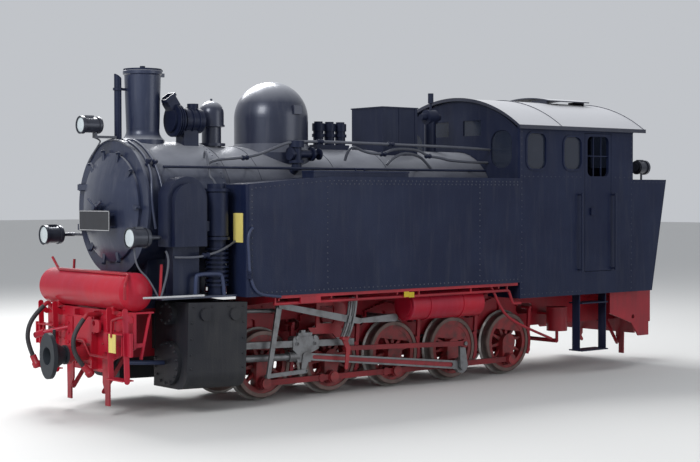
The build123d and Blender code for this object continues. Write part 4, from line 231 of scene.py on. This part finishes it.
def above_line(slope, limit):
    """A mask over a line that leans with the cylinders."""
    def made(net):
        x, _, z = place_of(net)
        return math_node(net, "GREATER_THAN", math_node(net, "ADD", z, math_node(net, "MULTIPLY", x, slope)), limit)
    return made


def below_line(slope, limit):
    def made(net):
        return math_node(net, "SUBTRACT", 1.0, above_line(slope, limit)(net))
    return made


def flute(net):
    """The sunk face of the connecting rods, inside their outer edges."""
    shape = node(net, "ShaderNodeNewGeometry")
    split = node(net, "ShaderNodeSeparateXYZ")
    net.links.new(shape.outputs["True Normal"], split.inputs[0])
    flat = math_node(net, "GREATER_THAN", math_node(net, "ABSOLUTE", split.outputs["Y"]), 0.7)
    sunk = math_node(net, "LESS_THAN", math_node(net, "ABSOLUTE", place_of(net)[1]), 0.66)
    return math_node(net, "MULTIPLY", flat, sunk)


# Upward faces, where the bunker and roof get their painted highlight.
def facing_up(net):
    return ramp(net, upward(net), 0.1, 0.2)


def painted_top_glare(net):
    """Painted highlight on the tops of the boiler, smokebox and domes: a pale, patchy colour that stands for sun glare.
    """
    top = math_node(net, "MULTIPLY", ramp(net, upward(net), 0.4, 0.9), beyond(2, 2.3)(net))
    patches = ramp(net, noise(net, 3.4, 6), 0.15, 0.75, (0.68, 0.68, 0.68, 1))
    return math_node(net, "MULTIPLY", top, patches)


def wheel_material(name, x):
    """Red wheel centre with grease in patches, and a bare, rubbed tyre outside it."""
    made, net, shader = tree(name)
    place = node(net, "ShaderNodeTexCoord")
    split = node(net, "ShaderNodeSeparateXYZ")
    net.links.new(place.outputs["Object"], split.inputs[0])
    across = math_node(net, "SUBTRACT", split.outputs["X"], x)
    rise = math_node(net, "SUBTRACT", split.outputs["Z"], AXLE_Z)
    square = math_node(net, "ADD", math_node(net, "MULTIPLY", across, across), math_node(net, "MULTIPLY", rise, rise))
    radius = math_node(net, "SQRT", square)
    tyre = math_node(net, "GREATER_THAN", radius, TYRE_R)
    tread = ramp(net, radius, 0.366, 0.372)
    grease = ramp(net, noise(net, 9, 6), 0.42, 0.68)
    red = mix(net, math_node(net, "MULTIPLY", grease, 0.75), (0.27, 0.02, 0.024), (0.045, 0.024, 0.022))
    bare = mix(net, tread, (0.17, 0.12, 0.11), (0.5, 0.48, 0.46))
    bare = mix(net, math_node(net, "MULTIPLY", grease, 0.5), bare, (0.06, 0.05, 0.045))
    net.links.new(mix(net, tyre, red, bare), shader.inputs["Base Color"])
    net.links.new(math_node(net, "MULTIPLY", tyre, 0.75), shader.inputs["Metallic"])
    shine = node(net, "ShaderNodeMapRange")
    shine.inputs["To Min"].default_value = 0.3
    shine.inputs["To Max"].default_value = 0.62
    net.links.new(noise(net, 14, 5), shine.inputs["Value"])
    net.links.new(shine.outputs["Result"], shader.inputs["Roughness"])
    bump(net, shader, noise(net, 40, 4), 0.2, 0.004)
    return made


def glass_material(name, tint, rough, clear):
    made, net, shader = tree(name)
    shader.inputs["Base Color"].default_value = tint + (1,)
    shader.inputs["Transmission Weight"].default_value = clear
    net.links.new(
        ramp(net, noise(net, 7, 5), 0.3, 0.8, (rough,) * 3 + (1,), (rough + 0.25,) * 3 + (1,)),
        shader.inputs["Roughness"],
    )
    shader.inputs["IOR"].default_value = 1.45
    return made


black_paint = paint("black_paint", NIGHT, NIGHT_DULL, SOOT, gloss=0.22, coat=0.05)
tank_paint = paint("tank_paint", TANK, TANK_DULL, SOOT, 0.3, 0.3, 0.45, 0.04, 0.2)
# The bunker's upward faces get a pale painted highlight, for the glare along its top edge.
bunker_paint = paint(
    "bunker_paint", TANK, TANK_DULL, SOOT, 0.3, 0.3, 0.45, 0.04, 0.2, highlight_and_colour_mask=(facing_up, (0.33, 0.34, 0.36)),
)
rivet_paint = paint("rivet_paint", (0.05, 0.056, 0.08), (0.03, 0.034, 0.055), (0.1, 0.1, 0.11), 0.3, 0.35, 0.0)
# The boiler and smokebox paints carry a painted highlight on their tops.
boiler_paint = paint(
    "boiler_paint", (0.0095, 0.0125, 0.03), (0.018, 0.021, 0.04), (0.07, 0.072, 0.09),
    0.6, 0.3, 0.2, 0.5, 0.5, highlight_and_colour_mask=(painted_top_glare, TOP_GLARE),
)
smoke_paint = paint(
    "smoke_paint", (0.011, 0.016, 0.04), (0.02, 0.026, 0.054), (0.09, 0.095, 0.12),
    0.6, 0.32, 0.25, 0.4, 0.45, highlight_and_colour_mask=(painted_top_glare, TOP_GLARE),
)
cylinder_paint = paint(
    "cylinder_paint", (0.0125, 0.014, 0.02), (0.026, 0.027, 0.031), (0.055, 0.052, 0.05),
    0.5, 0.42, 0.35, 0.0, 0.25, PLAIN
)
# The roof's upward faces get a pale painted highlight, for the glare on its top.
roof_paint = paint(
    "roof_paint", NIGHT, NIGHT_DULL, SOOT, 0.0, 0.36, 0.25, 0.3, 0.5, PLAIN, (facing_up, (0.5, 0.505, 0.53)),
)
inner_paint = paint("inner_paint", (0.01, 0.011, 0.016), (0.018, 0.018, 0.022), SOOT, 0.3, 0.5, 0.2, 0.0)
red_paint = paint("red_paint", RED, RED_DULL, GRIME, 0.45, 0.36, 0.2, 0.1, 0.3, PLAIN)
red_clean = paint(
    "red_clean", (0.4, 0.009, 0.022), (0.31, 0.009, 0.026), (0.36, 0.05, 0.09),
    0.3, 0.32, 0.12, 0.12, 0.25, (1, 0.8, 0.95),
)
red_oily = paint("red_oily", (0.25, 0.016, 0.022), (0.14, 0.012, 0.016), GRIME, 0.5, 0.36, 0.2, 0.1, 0.3, PLAIN)
coupler_paint = paint(
    "coupler_paint", RED, RED_DULL, GRIME, 0.4, 0.4, 0.2, 0.0, 0.3, PLAIN, (beyond(0, 4.13, True), (0.02, 0.025, 0.032))
)
bright_steel = steel("bright_steel", STEEL, GREASE, 0.36, 0.55)
rod_steel = steel("rod_steel", STEEL, GREASE, 0.34, 0.45, (flute, (0.27, 0.016, 0.024), (0.1, 0.012, 0.016)))
bar_steel = steel(
    "bar_steel", STEEL, GREASE, 0.36, 0.55, (above_line(MOTION_SLOPE, 0.605), MOTION_RED, MOTION_RED_DULL),
)
link_steel = steel(
    "link_steel", STEEL, GREASE, 0.38, 0.55, (below_line(MOTION_SLOPE, 0.63), MOTION_RED, MOTION_RED_DULL),
)
dark_steel = steel("dark_steel", (0.12, 0.12, 0.125), (0.03, 0.028, 0.03), 0.42, 0.7)
plate_yellow = paint(
    "plate_yellow", (0.72, 0.6, 0.18), (0.62, 0.52, 0.15), (0.3, 0.26, 0.15), 0.2, 0.45, 0.1, 0.0, 0.3, PLAIN
)
tag_yellow = paint("tag_yellow", (0.52, 0.4, 0.015), (0.34, 0.26, 0.02), GRIME, 0.3, 0.4, 0.1, 0.0, 0.3, PLAIN)
plate_black = paint("plate_black", (0.02, 0.021, 0.026), (0.03, 0.031, 0.036), SOOT, 0.2, 0.35, 0.08, 0.1, 0.35, PLAIN)
trim_pale = paint("trim_pale", (0.5, 0.51, 0.53), (0.38, 0.39, 0.41), (0.2, 0.2, 0.2), 0.2, 0.35, 0.1, 0.1, 0.4, PLAIN)
lens_pale = paint(
    "lens_pale", (0.52, 0.58, 0.6), (0.46, 0.52, 0.55), (0.3, 0.32, 0.33), 0.1, 0.12, 0.02, 0.8, 0.5, PLAIN,
)
lamp_black = paint("lamp_black", (0.014, 0.016, 0.024), (0.024, 0.026, 0.034), SOOT, 0.5, 0.28, 0.1, 0.3, 0.45)
pipe_grey = paint("pipe_grey", (0.075, 0.08, 0.1), (0.1, 0.105, 0.12), SOOT, 0.3, 0.4, 0.1, 0.1, 0.4)
pipe_blue = paint("pipe_blue", (0.022, 0.032, 0.075), (0.035, 0.045, 0.09), SOOT, 0.3, 0.38, 0.1, 0.1, 0.35)
rubber = paint(
    "rubber", (0.018, 0.018, 0.022), (0.03, 0.03, 0.034), (0.09, 0.088, 0.09), 0.5, 0.55, 0.3, 0.0, 0.4, PLAIN,
)
pane_glass = glass_material("pane_glass", (0.035, 0.045, 0.075), 0.05, 0.5)

look = {name: black_paint for name in nodes}
look["boiler"] = look["domes"] = boiler_paint
for name in ("smokebox", "smokebox_door", "chimney"):
    look[name] = smoke_paint
look["cylinders"] = cylinder_paint
for name in (
    "side_tank_left", "side_tank_right", "tank_lid_left", "tank_lid_right", "cab_side_left", "cab_side_right",
    "cab_door_left", "cab_door_right",
):
    look[name] = tank_paint
for name in ("frame", "spring_gear", "rear_beam", "rail_guards", "brake_gear", "brake_pipes"):
    look[name] = red_paint
for name in ("front_beam", "front_air_tank", "side_air_tanks"):
    look[name] = red_clean
for name in ("coupling_rod_left", "coupling_rod_right", "eccentric_rods"):
    look[name] = red_oily
for name in ("crossheads", "return_cranks", "radius_rods", "combination_levers"):
    look[name] = bright_steel
look["couplers"] = coupler_paint
look["bunker"] = bunker_paint
look["connecting_rods"] = rod_steel
look["slide_bars"] = bar_steel
look["expansion_links"] = link_steel
look["lamps"] = lamp_black
look["cab_floor"] = inner_paint
look["cab_roof"] = roof_paint
look["window_panes"] = pane_glass
for number in range(1, 6):
    name = "wheelset_%d" % number
    look[name] = wheel_material("wheel_paint_%d" % number, MIDDLE_AXLE_X + (number - 3) * AXLE_PITCH)
for name, made in look.items():
    thing = nodes[name]
    thing.data.materials.clear()
    thing.data.materials.append(made)


# Mesh building blocks.
def link(thing, body=ENGINE):
    bpy.context.scene.collection.objects.link(thing)
    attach(thing, body)
    return thing


def mesh_piece(name, points, faces, material, body=ENGINE, smooth=True):
    data = bpy.data.meshes.new(name)
    data.from_pydata([tuple(p) for p in points], [], faces)
    data.validate()
    data.materials.append(material)
    for face in data.polygons:
        face.use_smooth = smooth
    return link(bpy.data.objects.new(name, data), body)


def pipe(name, runs, radius, material, body=ENGINE):
    """Bent pipes as smooth curves, several in one piece."""
    data = bpy.data.curves.new(name, "CURVE")
    data.dimensions = "3D"
    data.bevel_depth = radius
    data.bevel_resolution = 3
    data.resolution_u = 6
    data.use_fill_caps = True
    for run in runs:
        line = data.splines.new("NURBS")
        line.points.add(len(run) - 1)
        for point, at in zip(line.points, run):
            point.co = tuple(at) + (1,)
        line.order_u = min(3, len(run))
        line.use_endpoint_u = True
    data.materials.append(material)
    return link(bpy.data.objects.new(name, data), body)


def basis(axis):
    axis = Vector(axis).normalized()
    side = axis.orthogonal().normalized()
    return side, axis.cross(side), axis


def domes_at(name, spots, radius, material, body=ENGINE, sides=8, rise=0.6):
    """Rivet heads or bolt heads: a low dome on each spot, each given as a point and its outward direction."""
    points, faces = [], []
    for at, out in spots:
        a, b, n = basis(out)
        base = Vector(at)
        first = len(points)
        for ring, height in ((1.0, -0.1), (0.98, 0.25), (0.62, rise)):
            for k in range(sides):
                turn = 2 * math.pi * k / sides
                points.append(base + (a * math.cos(turn) + b * math.sin(turn)) * radius * ring + n * radius * height)
        for ring in (0, 1):
            for k in range(sides):
                p = first + ring * sides + k
                q = first + ring * sides + (k + 1) % sides
                faces.append((p, q, q + sides, p + sides))
        faces.append(tuple(first + 2 * sides + k for k in range(sides)))
    return mesh_piece(name, points, faces, material, body)


def turned_at(name, spots, profile, material, body=ENGINE, sides=24, smooth=True):
    """Turned pieces: a profile of (radius, height) pairs about each spot's axis."""
    points, faces = [], []
    for at, out in spots:
        a, b, n = basis(out)
        base = Vector(at)
        first = len(points)
        for radius, height in profile:
            for k in range(sides):
                turn = 2 * math.pi * k / sides
                points.append(base + (a * math.cos(turn) + b * math.sin(turn)) * max(radius, 0.0004) + n * height)
        for ring in range(len(profile) - 1):
            for k in range(sides):
                p = first + ring * sides + k
                q = first + ring * sides + (k + 1) % sides
                faces.append((p, q, q + sides, p + sides))
        faces.append(tuple(first + k for k in reversed(range(sides))))
        faces.append(tuple(first + (len(profile) - 1) * sides + k for k in range(sides)))
    return mesh_piece(name, points, faces, material, body, smooth)


def plates(name, boxes, material, body=ENGINE, edge=0.002):
    """Rectangular plates with softened edges, each given as low and high corners."""
    shape = bmesh.new()
    for low, high in boxes:
        made = bmesh.ops.create_cube(shape, size=1)
        for corner in made["verts"]:
            corner.co = Vector([low[i] + (high[i] - low[i]) * (corner.co[i] + 0.5) for i in range(3)])
    bmesh.ops.bevel(shape, geom=list(shape.edges), offset=edge, segments=2, affect="EDGES", profile=0.7)
    data = bpy.data.meshes.new(name)
    shape.to_mesh(data)
    shape.free()
    data.materials.append(material)
    return link(bpy.data.objects.new(name, data), body)


def row(start, end, pitch):
    start, end = Vector(start), Vector(end)
    count = max(int(round((end - start).length / pitch)), 1)
    return [start + (end - start) * k / count for k in range(count + 1)]


# Front brake hoses on the points of their routes, with lengths estimated from the photo.
HOSES = {
    "brake_hose_near": (
        (-4.055, -0.24, 0.975), (-4.145, -0.24, 0.87), (-4.182, -0.24, 0.735), (-4.14, -0.24, 0.595),
        (-4.045, -0.24, 0.49),
    ),
    "brake_hose_far": (
        (-4.045, 0.62, 1.062), (-4.16, 0.62, 0.965), (-4.232, 0.62, 0.83), (-4.232, 0.62, 0.675), (-4.165, 0.62, 0.53),
    ),
}
for name, route in HOSES.items():
    end = Vector(route[-1])
    way = (end - Vector(route[-2])).normalized()
    head = turned_at(
        name + "_head", [(end, way)],
        ((0.03, -0.03), (0.034, -0.026), (0.034, 0.052), (0.044, 0.056), (0.046, 0.062), (0.046, 0.104), (0.04, 0.11)),
        red_paint,
    )
    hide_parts("hose_couplings")
    hose = pipe(name + "_skin", [route], HOSE_R, rubber)
    hose.data.resolution_u = 24
    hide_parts(name)

# Rivet rows on the side tanks.
for side, word in ((LEFT, "left"), (RIGHT, "right")):
    y = side * SIDE_Y
    out = (0, side, 0)
    spots = [(p, out) for p in row((-2.60, y, 1.215), (1.24, y, 1.215), 0.062)]
    spots += [(p, out) for p in row((-2.60, y, 1.29), (-2.60, y, 2.27), 0.062)]
    spots += [(p, out) for p in row((-1.59, y, 2.365), (1.24, y, 2.365), 0.062)]
    spots += [(p, out) for p in row((-2.55, y, 2.285), (-1.65, y, 2.36), 0.062)]
    for x in (-1.62, 0.62):
        spots += [(p, out) for p in row((x, y, 1.28), (x, y, 2.3), 0.062)]
    spots += [(p, out) for p in row((-1.56, y, 2.33), (1.24, y, 2.33), 0.062)]
    domes_at("tank_rivets_" + word, spots, 0.0085, rivet_paint)

# Rivets on the cab and the bunker.
for side, word in ((LEFT, "left"), (RIGHT, "right")):
    y = side * SIDE_Y
    out = (0, side, 0)
    spots = [(p, out) for p in row((1.31, y, 1.03), (1.31, y, 2.96), 0.075)]
    spots += [(p, out) for p in row((3.29, y, 1.03), (3.29, y, 2.96), 0.075)]
    spots += [(p, out) for p in row((1.36, y, 1.03), (2.34, y, 1.03), 0.075)]
    spots += [(p, out) for p in row((1.36, y, 2.43), (2.34, y, 2.43), 0.075)]
    spots += [(p, out) for p in row((2.98, y, 2.43), (3.24, y, 2.43), 0.075)]
    spots += [(p, out) for p in row((3.35, y, 2.37), (3.93, y, 2.37), 0.075)]
    domes_at("cab_rivets_" + word, spots, 0.007, rivet_paint)


def ring(x, radius, z, first, last, count):
    """Spots round a barrel, facing outwards."""
    made = []
    for k in range(count):
        turn = math.radians(first + (last - first) * k / (count - 1))
        out = (0, math.sin(turn), math.cos(turn))
        made.append(((x, radius * out[1], z + radius * out[2]), out))
    return made


# Rivets round the smokebox and on its front ring.
spots = ring(-3.545, 0.69, BARREL_Z, -150, 150, 52) + ring(-2.63, 0.69, BARREL_Z, -110, 110, 44)
domes_at("smokebox_rivets", spots, 0.009, smoke_paint)
face = -3.5708
spots = []
for k in range(44):
    turn = 2 * math.pi * k / 44
    spots.append(((face, 0.662 * math.sin(turn), BARREL_Z + 0.662 * math.cos(turn)), (-1, 0, 0)))
domes_at("smokebox_front_rivets", spots, 0.009, smoke_paint)


# Nuts round the cylinder covers and bolts on the valve chests.
def in_gear(side, y, u, v):
    """A point in the motion's leaning plane, in metres."""
    lean = math.radians(MOTION_LEAN)
    x = MOTION_X + u * math.cos(lean) + v * math.sin(lean)
    return Vector((x, side * y, AXLE_Z - u * math.sin(lean) + v * math.cos(lean)))


nuts, heads = [], []
for side in (LEFT, RIGHT):
    front = in_gear(side, 0, -1, 0) - in_gear(side, 0, 0, 0)
    for k in range(14):
        turn = 2 * math.pi * k / 14
        at = in_gear(side, 0.64 + 0.2 * math.sin(turn), -4.125, 0.2 * math.cos(turn))
        nuts.append((at, front))
    for k in range(8):
        turn = 2 * math.pi * k / 8
        at = in_gear(side, 0.64 + 0.1 * math.sin(turn), -4.14, 0.504 + 0.1 * math.cos(turn))
        nuts.append((at, front))
    for u in (-4.02, -3.8, -3.6, -3.42):
        heads.append((in_gear(side, 0.965, u, 0.585), (0, side, 0)))
    for u in (-4.04, -3.41):
        for v in (0.42, 0.26, 0.1, -0.04):
            heads.append((in_gear(side, 0.965, u, v), (0, side, 0)))
domes_at("cylinder_nuts", nuts, 0.017, cylinder_paint, sides=6, rise=1.0)
domes_at("chest_bolts", heads, 0.012, cylinder_paint, sides=6, rise=0.9)

# Bolts across the front beam and along the frames.
spots = []
for side in (LEFT, RIGHT):
    for y in (0.28, 0.52, 0.62, 0.76, 0.85):
        for z in (0.72, 0.86, 1.02):
            spots.append(((-3.86, side * y, z), (-1, 0, 0)))
    for x in (-2.7, -2.3, -1.9, -1.5, -1.1, -0.7, -0.3, 0.1, 0.5, 0.9, 1.3, 1.7, 2.1, 2.5, 2.9, 3.3, 3.7):
        spots.append(((x, side * 0.303, 1.0), (0, side, 0)))
        spots.append(((x + 0.12, side * 0.303, 0.93), (0, side, 0)))
domes_at("frame_bolts", spots, 0.014, red_paint, sides=6, rise=0.8)


def mm(*points):
    return [Vector(p) / 1000 for p in points]


# Pipes over the boiler, the smokebox and the tank front.
top_runs = [
    mm(
        (-2790, -600, 2500), (-2808, -560, 2575), (-2302, -560, 2610), (-2081, -560, 2656), (-1909, -560, 2723),
        (-1738, -600, 2790), (-1327, -600, 2799), (-300, -600, 2790), (781, -600, 2774), (1190, -600, 2760),
        (1275, -600, 2755),
    ),
    mm(
        (-870, -470, 2600), (-870, -540, 2788), (-652, -560, 2691), (-385, -560, 2673), (-235, -560, 2744),
        (149, -560, 2740), (305, -560, 2661), (496, -560, 2652), (689, -560, 2608), (1275, -560, 2600),
    ),
    mm((-260, -480, 2560), (-122, -500, 2702), (203, -500, 2684), (360, -500, 2569), (420, -480, 2520)),
]
# The pipes over the boiler are pipe grey, paler than the black paint, as a painted highlight along their tops.
pipe("boiler_top_pipes", top_runs, 0.016, pipe_grey)
side_runs = [
    mm(
        (-3427, -180, 2780), (-3427, -300, 2745), (-3425, -450, 2650), (-3411, -575, 2520), (-3404, -690, 2300),
        (-3404, -722, 2060), (-3390, -715, 1850),
    ),
    mm(
        (-3505, -200, 2765), (-3505, -330, 2725), (-3485, -500, 2600), (-3500, -640, 2420), (-3540, -705, 2280),
        (-3545, -725, 2080), (-3500, -715, 1880),
    ),
]
pipe("smokebox_side_pipes", side_runs, 0.015, smoke_paint)
pipe("thin_pipes", [
    mm(
        (-2767, -480, 2600), (-2767, -500, 2729), (-2850, -700, 2480), (-2881, -765, 2393), (-2844, -780, 2372),
        (-2781, -900, 2086),
    ),
    mm((-3399, -900, 1596), (-3240, -985, 1590), (-3079, -985, 1607), (-2850, -960, 1660), (-2670, -900, 1740)),
    mm((-3490, -880, 1660), (-3464, -900, 1600), (-3488, -900, 1426), (-3536, -890, 1260), (-3560, -900, 1202)),
], 0.012, pipe_grey)
pipe(
    "tank_front_pipe",
    [mm(
        (-2600, -1112, 1880), (-2669, -1118, 1833), (-2652, -1118, 1600), (-2646, -1118, 1458), (-2610, -1118, 1300),
        (-2540, -1116, 1215), (-2435, -1110, 1185), (-2240, -1100, 1165),
    )],
    0.016, pipe_blue,
)
pipe(
    "pump_foot_pipes",
    [mm(
        (-3184, -940, 1200), (-3180, -940, 1390), (-3150, -940, 1420), (-2890, -940, 1420), (-2850, -940, 1390),
        (-2835, -940, 1200),
    )],
    0.021, pipe_blue,
)
# A pale rod along the platform edge: a painted highlight for the glare on that edge.
pipe("platform_edge_highlight", [mm((-3800, -965, 1212), (-3600, -968, 1208), (-3100, -972, 1208))], 0.011, trim_pale)
pipe("drain_pipe", [mm((-3800, -600, 552), (-3560, -600, 535), (-3345, -600, 520))], 0.024, pipe_blue)
pipe(
    "cab_foot_pipe",
    [mm(
        (840, -1050, 1150), (916, -1050, 1046), (1000, -1050, 900), (1131, -1050, 765), (1400, -1050, 640),
        (1886, -1040, 470),
    )],
    0.016, red_paint,
)
pipe("lamp_pipes", [
    mm((-3850, -880, 1700), (-3850, -890, 1580), (-3800, -905, 1470), (-3700, -915, 1390), (-3600, -918, 1206)),
    mm((-3760, 60, 2810), (-3640, 120, 2790), (-3588, 250, 2748), (-3588, 397, 2640), (-3588, 500, 2540)),
    mm((-3588, 60, 2786), (-3584, -60, 2790), (-3588, -200, 2762), (-3588, -317, 2717), (-3560, -420, 2680)),
], 0.009, pipe_grey)

# Valve bodies and unions on the pipes.
unions = []
for at, out in (
    ((-3415, -560, 2535), (0, 0.5, -1)), ((-3492, -560, 2545), (0, 0.5, -1)), ((-2302, -560, 2610), (1, 0, 0.1)),
    ((-1327, -600, 2797), (1, 0, 0)), ((-300, -600, 2790), (1, 0, 0)), ((-385, -560, 2678), (1, 0, 0)),
    ((305, -560, 2665), (1, 0, 0)), ((-3079, -975, 1610), (1, 0, 0.1)), ((-2640, -1118, 1400), (0, 0, 1)),
):
    unions.append((Vector(at) / 1000, out))
turned_at(
    "pipe_unions", unions,
    (
        (0.02, -0.04), (0.028, -0.036), (0.028, -0.014), (0.021, -0.01), (0.021, 0.01), (0.028, 0.014), (0.028, 0.036),
        (0.02, 0.04),
    ),
    black_paint, sides=8, smooth=False,
)

# Lenses in the lamps.
for number, (x, y, z, radius, way) in enumerate((
    (-3.91, -0.88, 1.795, 0.105, -1), (-3.91, 0.88, 1.795, 0.105, -1), (-3.95, 0, 2.93, 0.092, -1),
    (4.04, -0.7, 2.57, 0.095, 1), (4.04, 0.7, 2.57, 0.095, 1),
)):
    r = radius - 0.0135
    at = (x - way * 0.0138, y, z)
    turned_at(
        "lamp_lens_%d" % (number + 1), [(at, (way, 0, 0))],
        ((r, 0), (r, 0.004), (r * 0.85, 0.009), (r * 0.6, 0.0125), (r * 0.3, 0.0136), (0.001, 0.0138)), lens_pale,
        sides=32,
    )

# Blank plates: the number plate with its rim and studs on the smokebox door, and small yellow ones.
plates("door_plate", [((-3.795, -0.31, 1.852), (-3.787, 0.31, 2.06))], plate_black, "smokebox_door", edge=0.003)
rim = [((-3.798, -0.306, z), (-3.7945, 0.306, z + 0.006)) for z in (1.856, 2.05)]
rim += [((-3.798, y, 1.856), (-3.7945, y + 0.006, 2.056)) for y in (-0.306, 0.3)]
plates("door_plate_rim", rim, trim_pale, "smokebox_door", edge=0.0006)
studs = [((-3.789, y - 0.012, z - 0.012), (-3.64, y + 0.012, z + 0.012)) for y in (-0.24, 0.24) for z in (1.89, 2.02)]
plates("door_plate_studs", studs, smoke_paint, "smokebox_door")
plates("yellow_plates", [
    ((-2.668, -1.03, 1.73), (-2.6595, -0.865, 2.03)),
    ((-3.997, -0.76, 0.668), (-3.989, -0.627, 0.852)),
], plate_yellow, edge=0.002)
plates(
    "yellow_tags", [((-0.54, -1.1, 1.083), (-0.47, -1.093, 1.144)), ((-0.472, -1.102, 1.076), (-0.395, -1.095, 1.135))],
    tag_yellow, edge=0.002,
)

# Bolt eyes on the crossheads and a lug on the dome.
eyes = []
for side, u in ((LEFT, -2.3795), (RIGHT, -2.1618)):
    for along in (-0.118, 0.118):
        eyes.append((in_gear(side, 0.6955, u + along, 0.14), (0, side, 0)))
turned_at(
    "crosshead_eyes", eyes, ((0.017, 0), (0.017, 0.0015), (0.001, 0.002)), dark_steel, sides=20,
)
plates("dome_lug", [((-1.55, -0.432, 3.1), (-1.44, -0.395, 3.2))], boiler_paint, edge=0.006)

# Floor, lamps and world.
floor_mesh = bpy.data.meshes.new("floor")
floor_mesh.from_pydata([(-60, -60, 0), (90, -60, 0), (90, 120, 0), (-60, 120, 0)], [], [(0, 1, 2, 3)])
floor = bpy.data.objects.new("floor", floor_mesh)
bpy.context.scene.collection.objects.link(floor)
pale, net, shader = tree("pale_floor")
shader.inputs["Base Color"].default_value = (0.62, 0.62, 0.61, 1)
shader.inputs["Roughness"].default_value = 0.8
floor_mesh.materials.append(pale)

world = bpy.data.worlds.new("studio")
bpy.context.scene.world = world
world.use_nodes = True
sky = world.node_tree.nodes["Background"]
sky.inputs["Color"].default_value = (0.86, 0.89, 0.94, 1)
sky.inputs["Strength"].default_value = 0.62


def lamp(name, at, target, size, power):
    data = bpy.data.lights.new(name, "AREA")
    data.size = size
    data.energy = power
    made = bpy.data.objects.new(name, data)
    made.location = at
    made.rotation_euler = (Vector(target) - Vector(at)).to_track_quat("-Z", "Y").to_euler()
    made.visible_camera = False
    bpy.context.scene.collection.objects.link(made)


lamp("key", (-13, -5, 9), (-1.5, 0, 1.5), 5, 1100)
lamp("fill", (5, -13, 4), (0, 0, 1.2), 7, 260)
lamp("back", (1, 9, 12), (0, 0, 2), 8, 2600)

bpy.context.scene.view_settings.view_transform = "Standard"
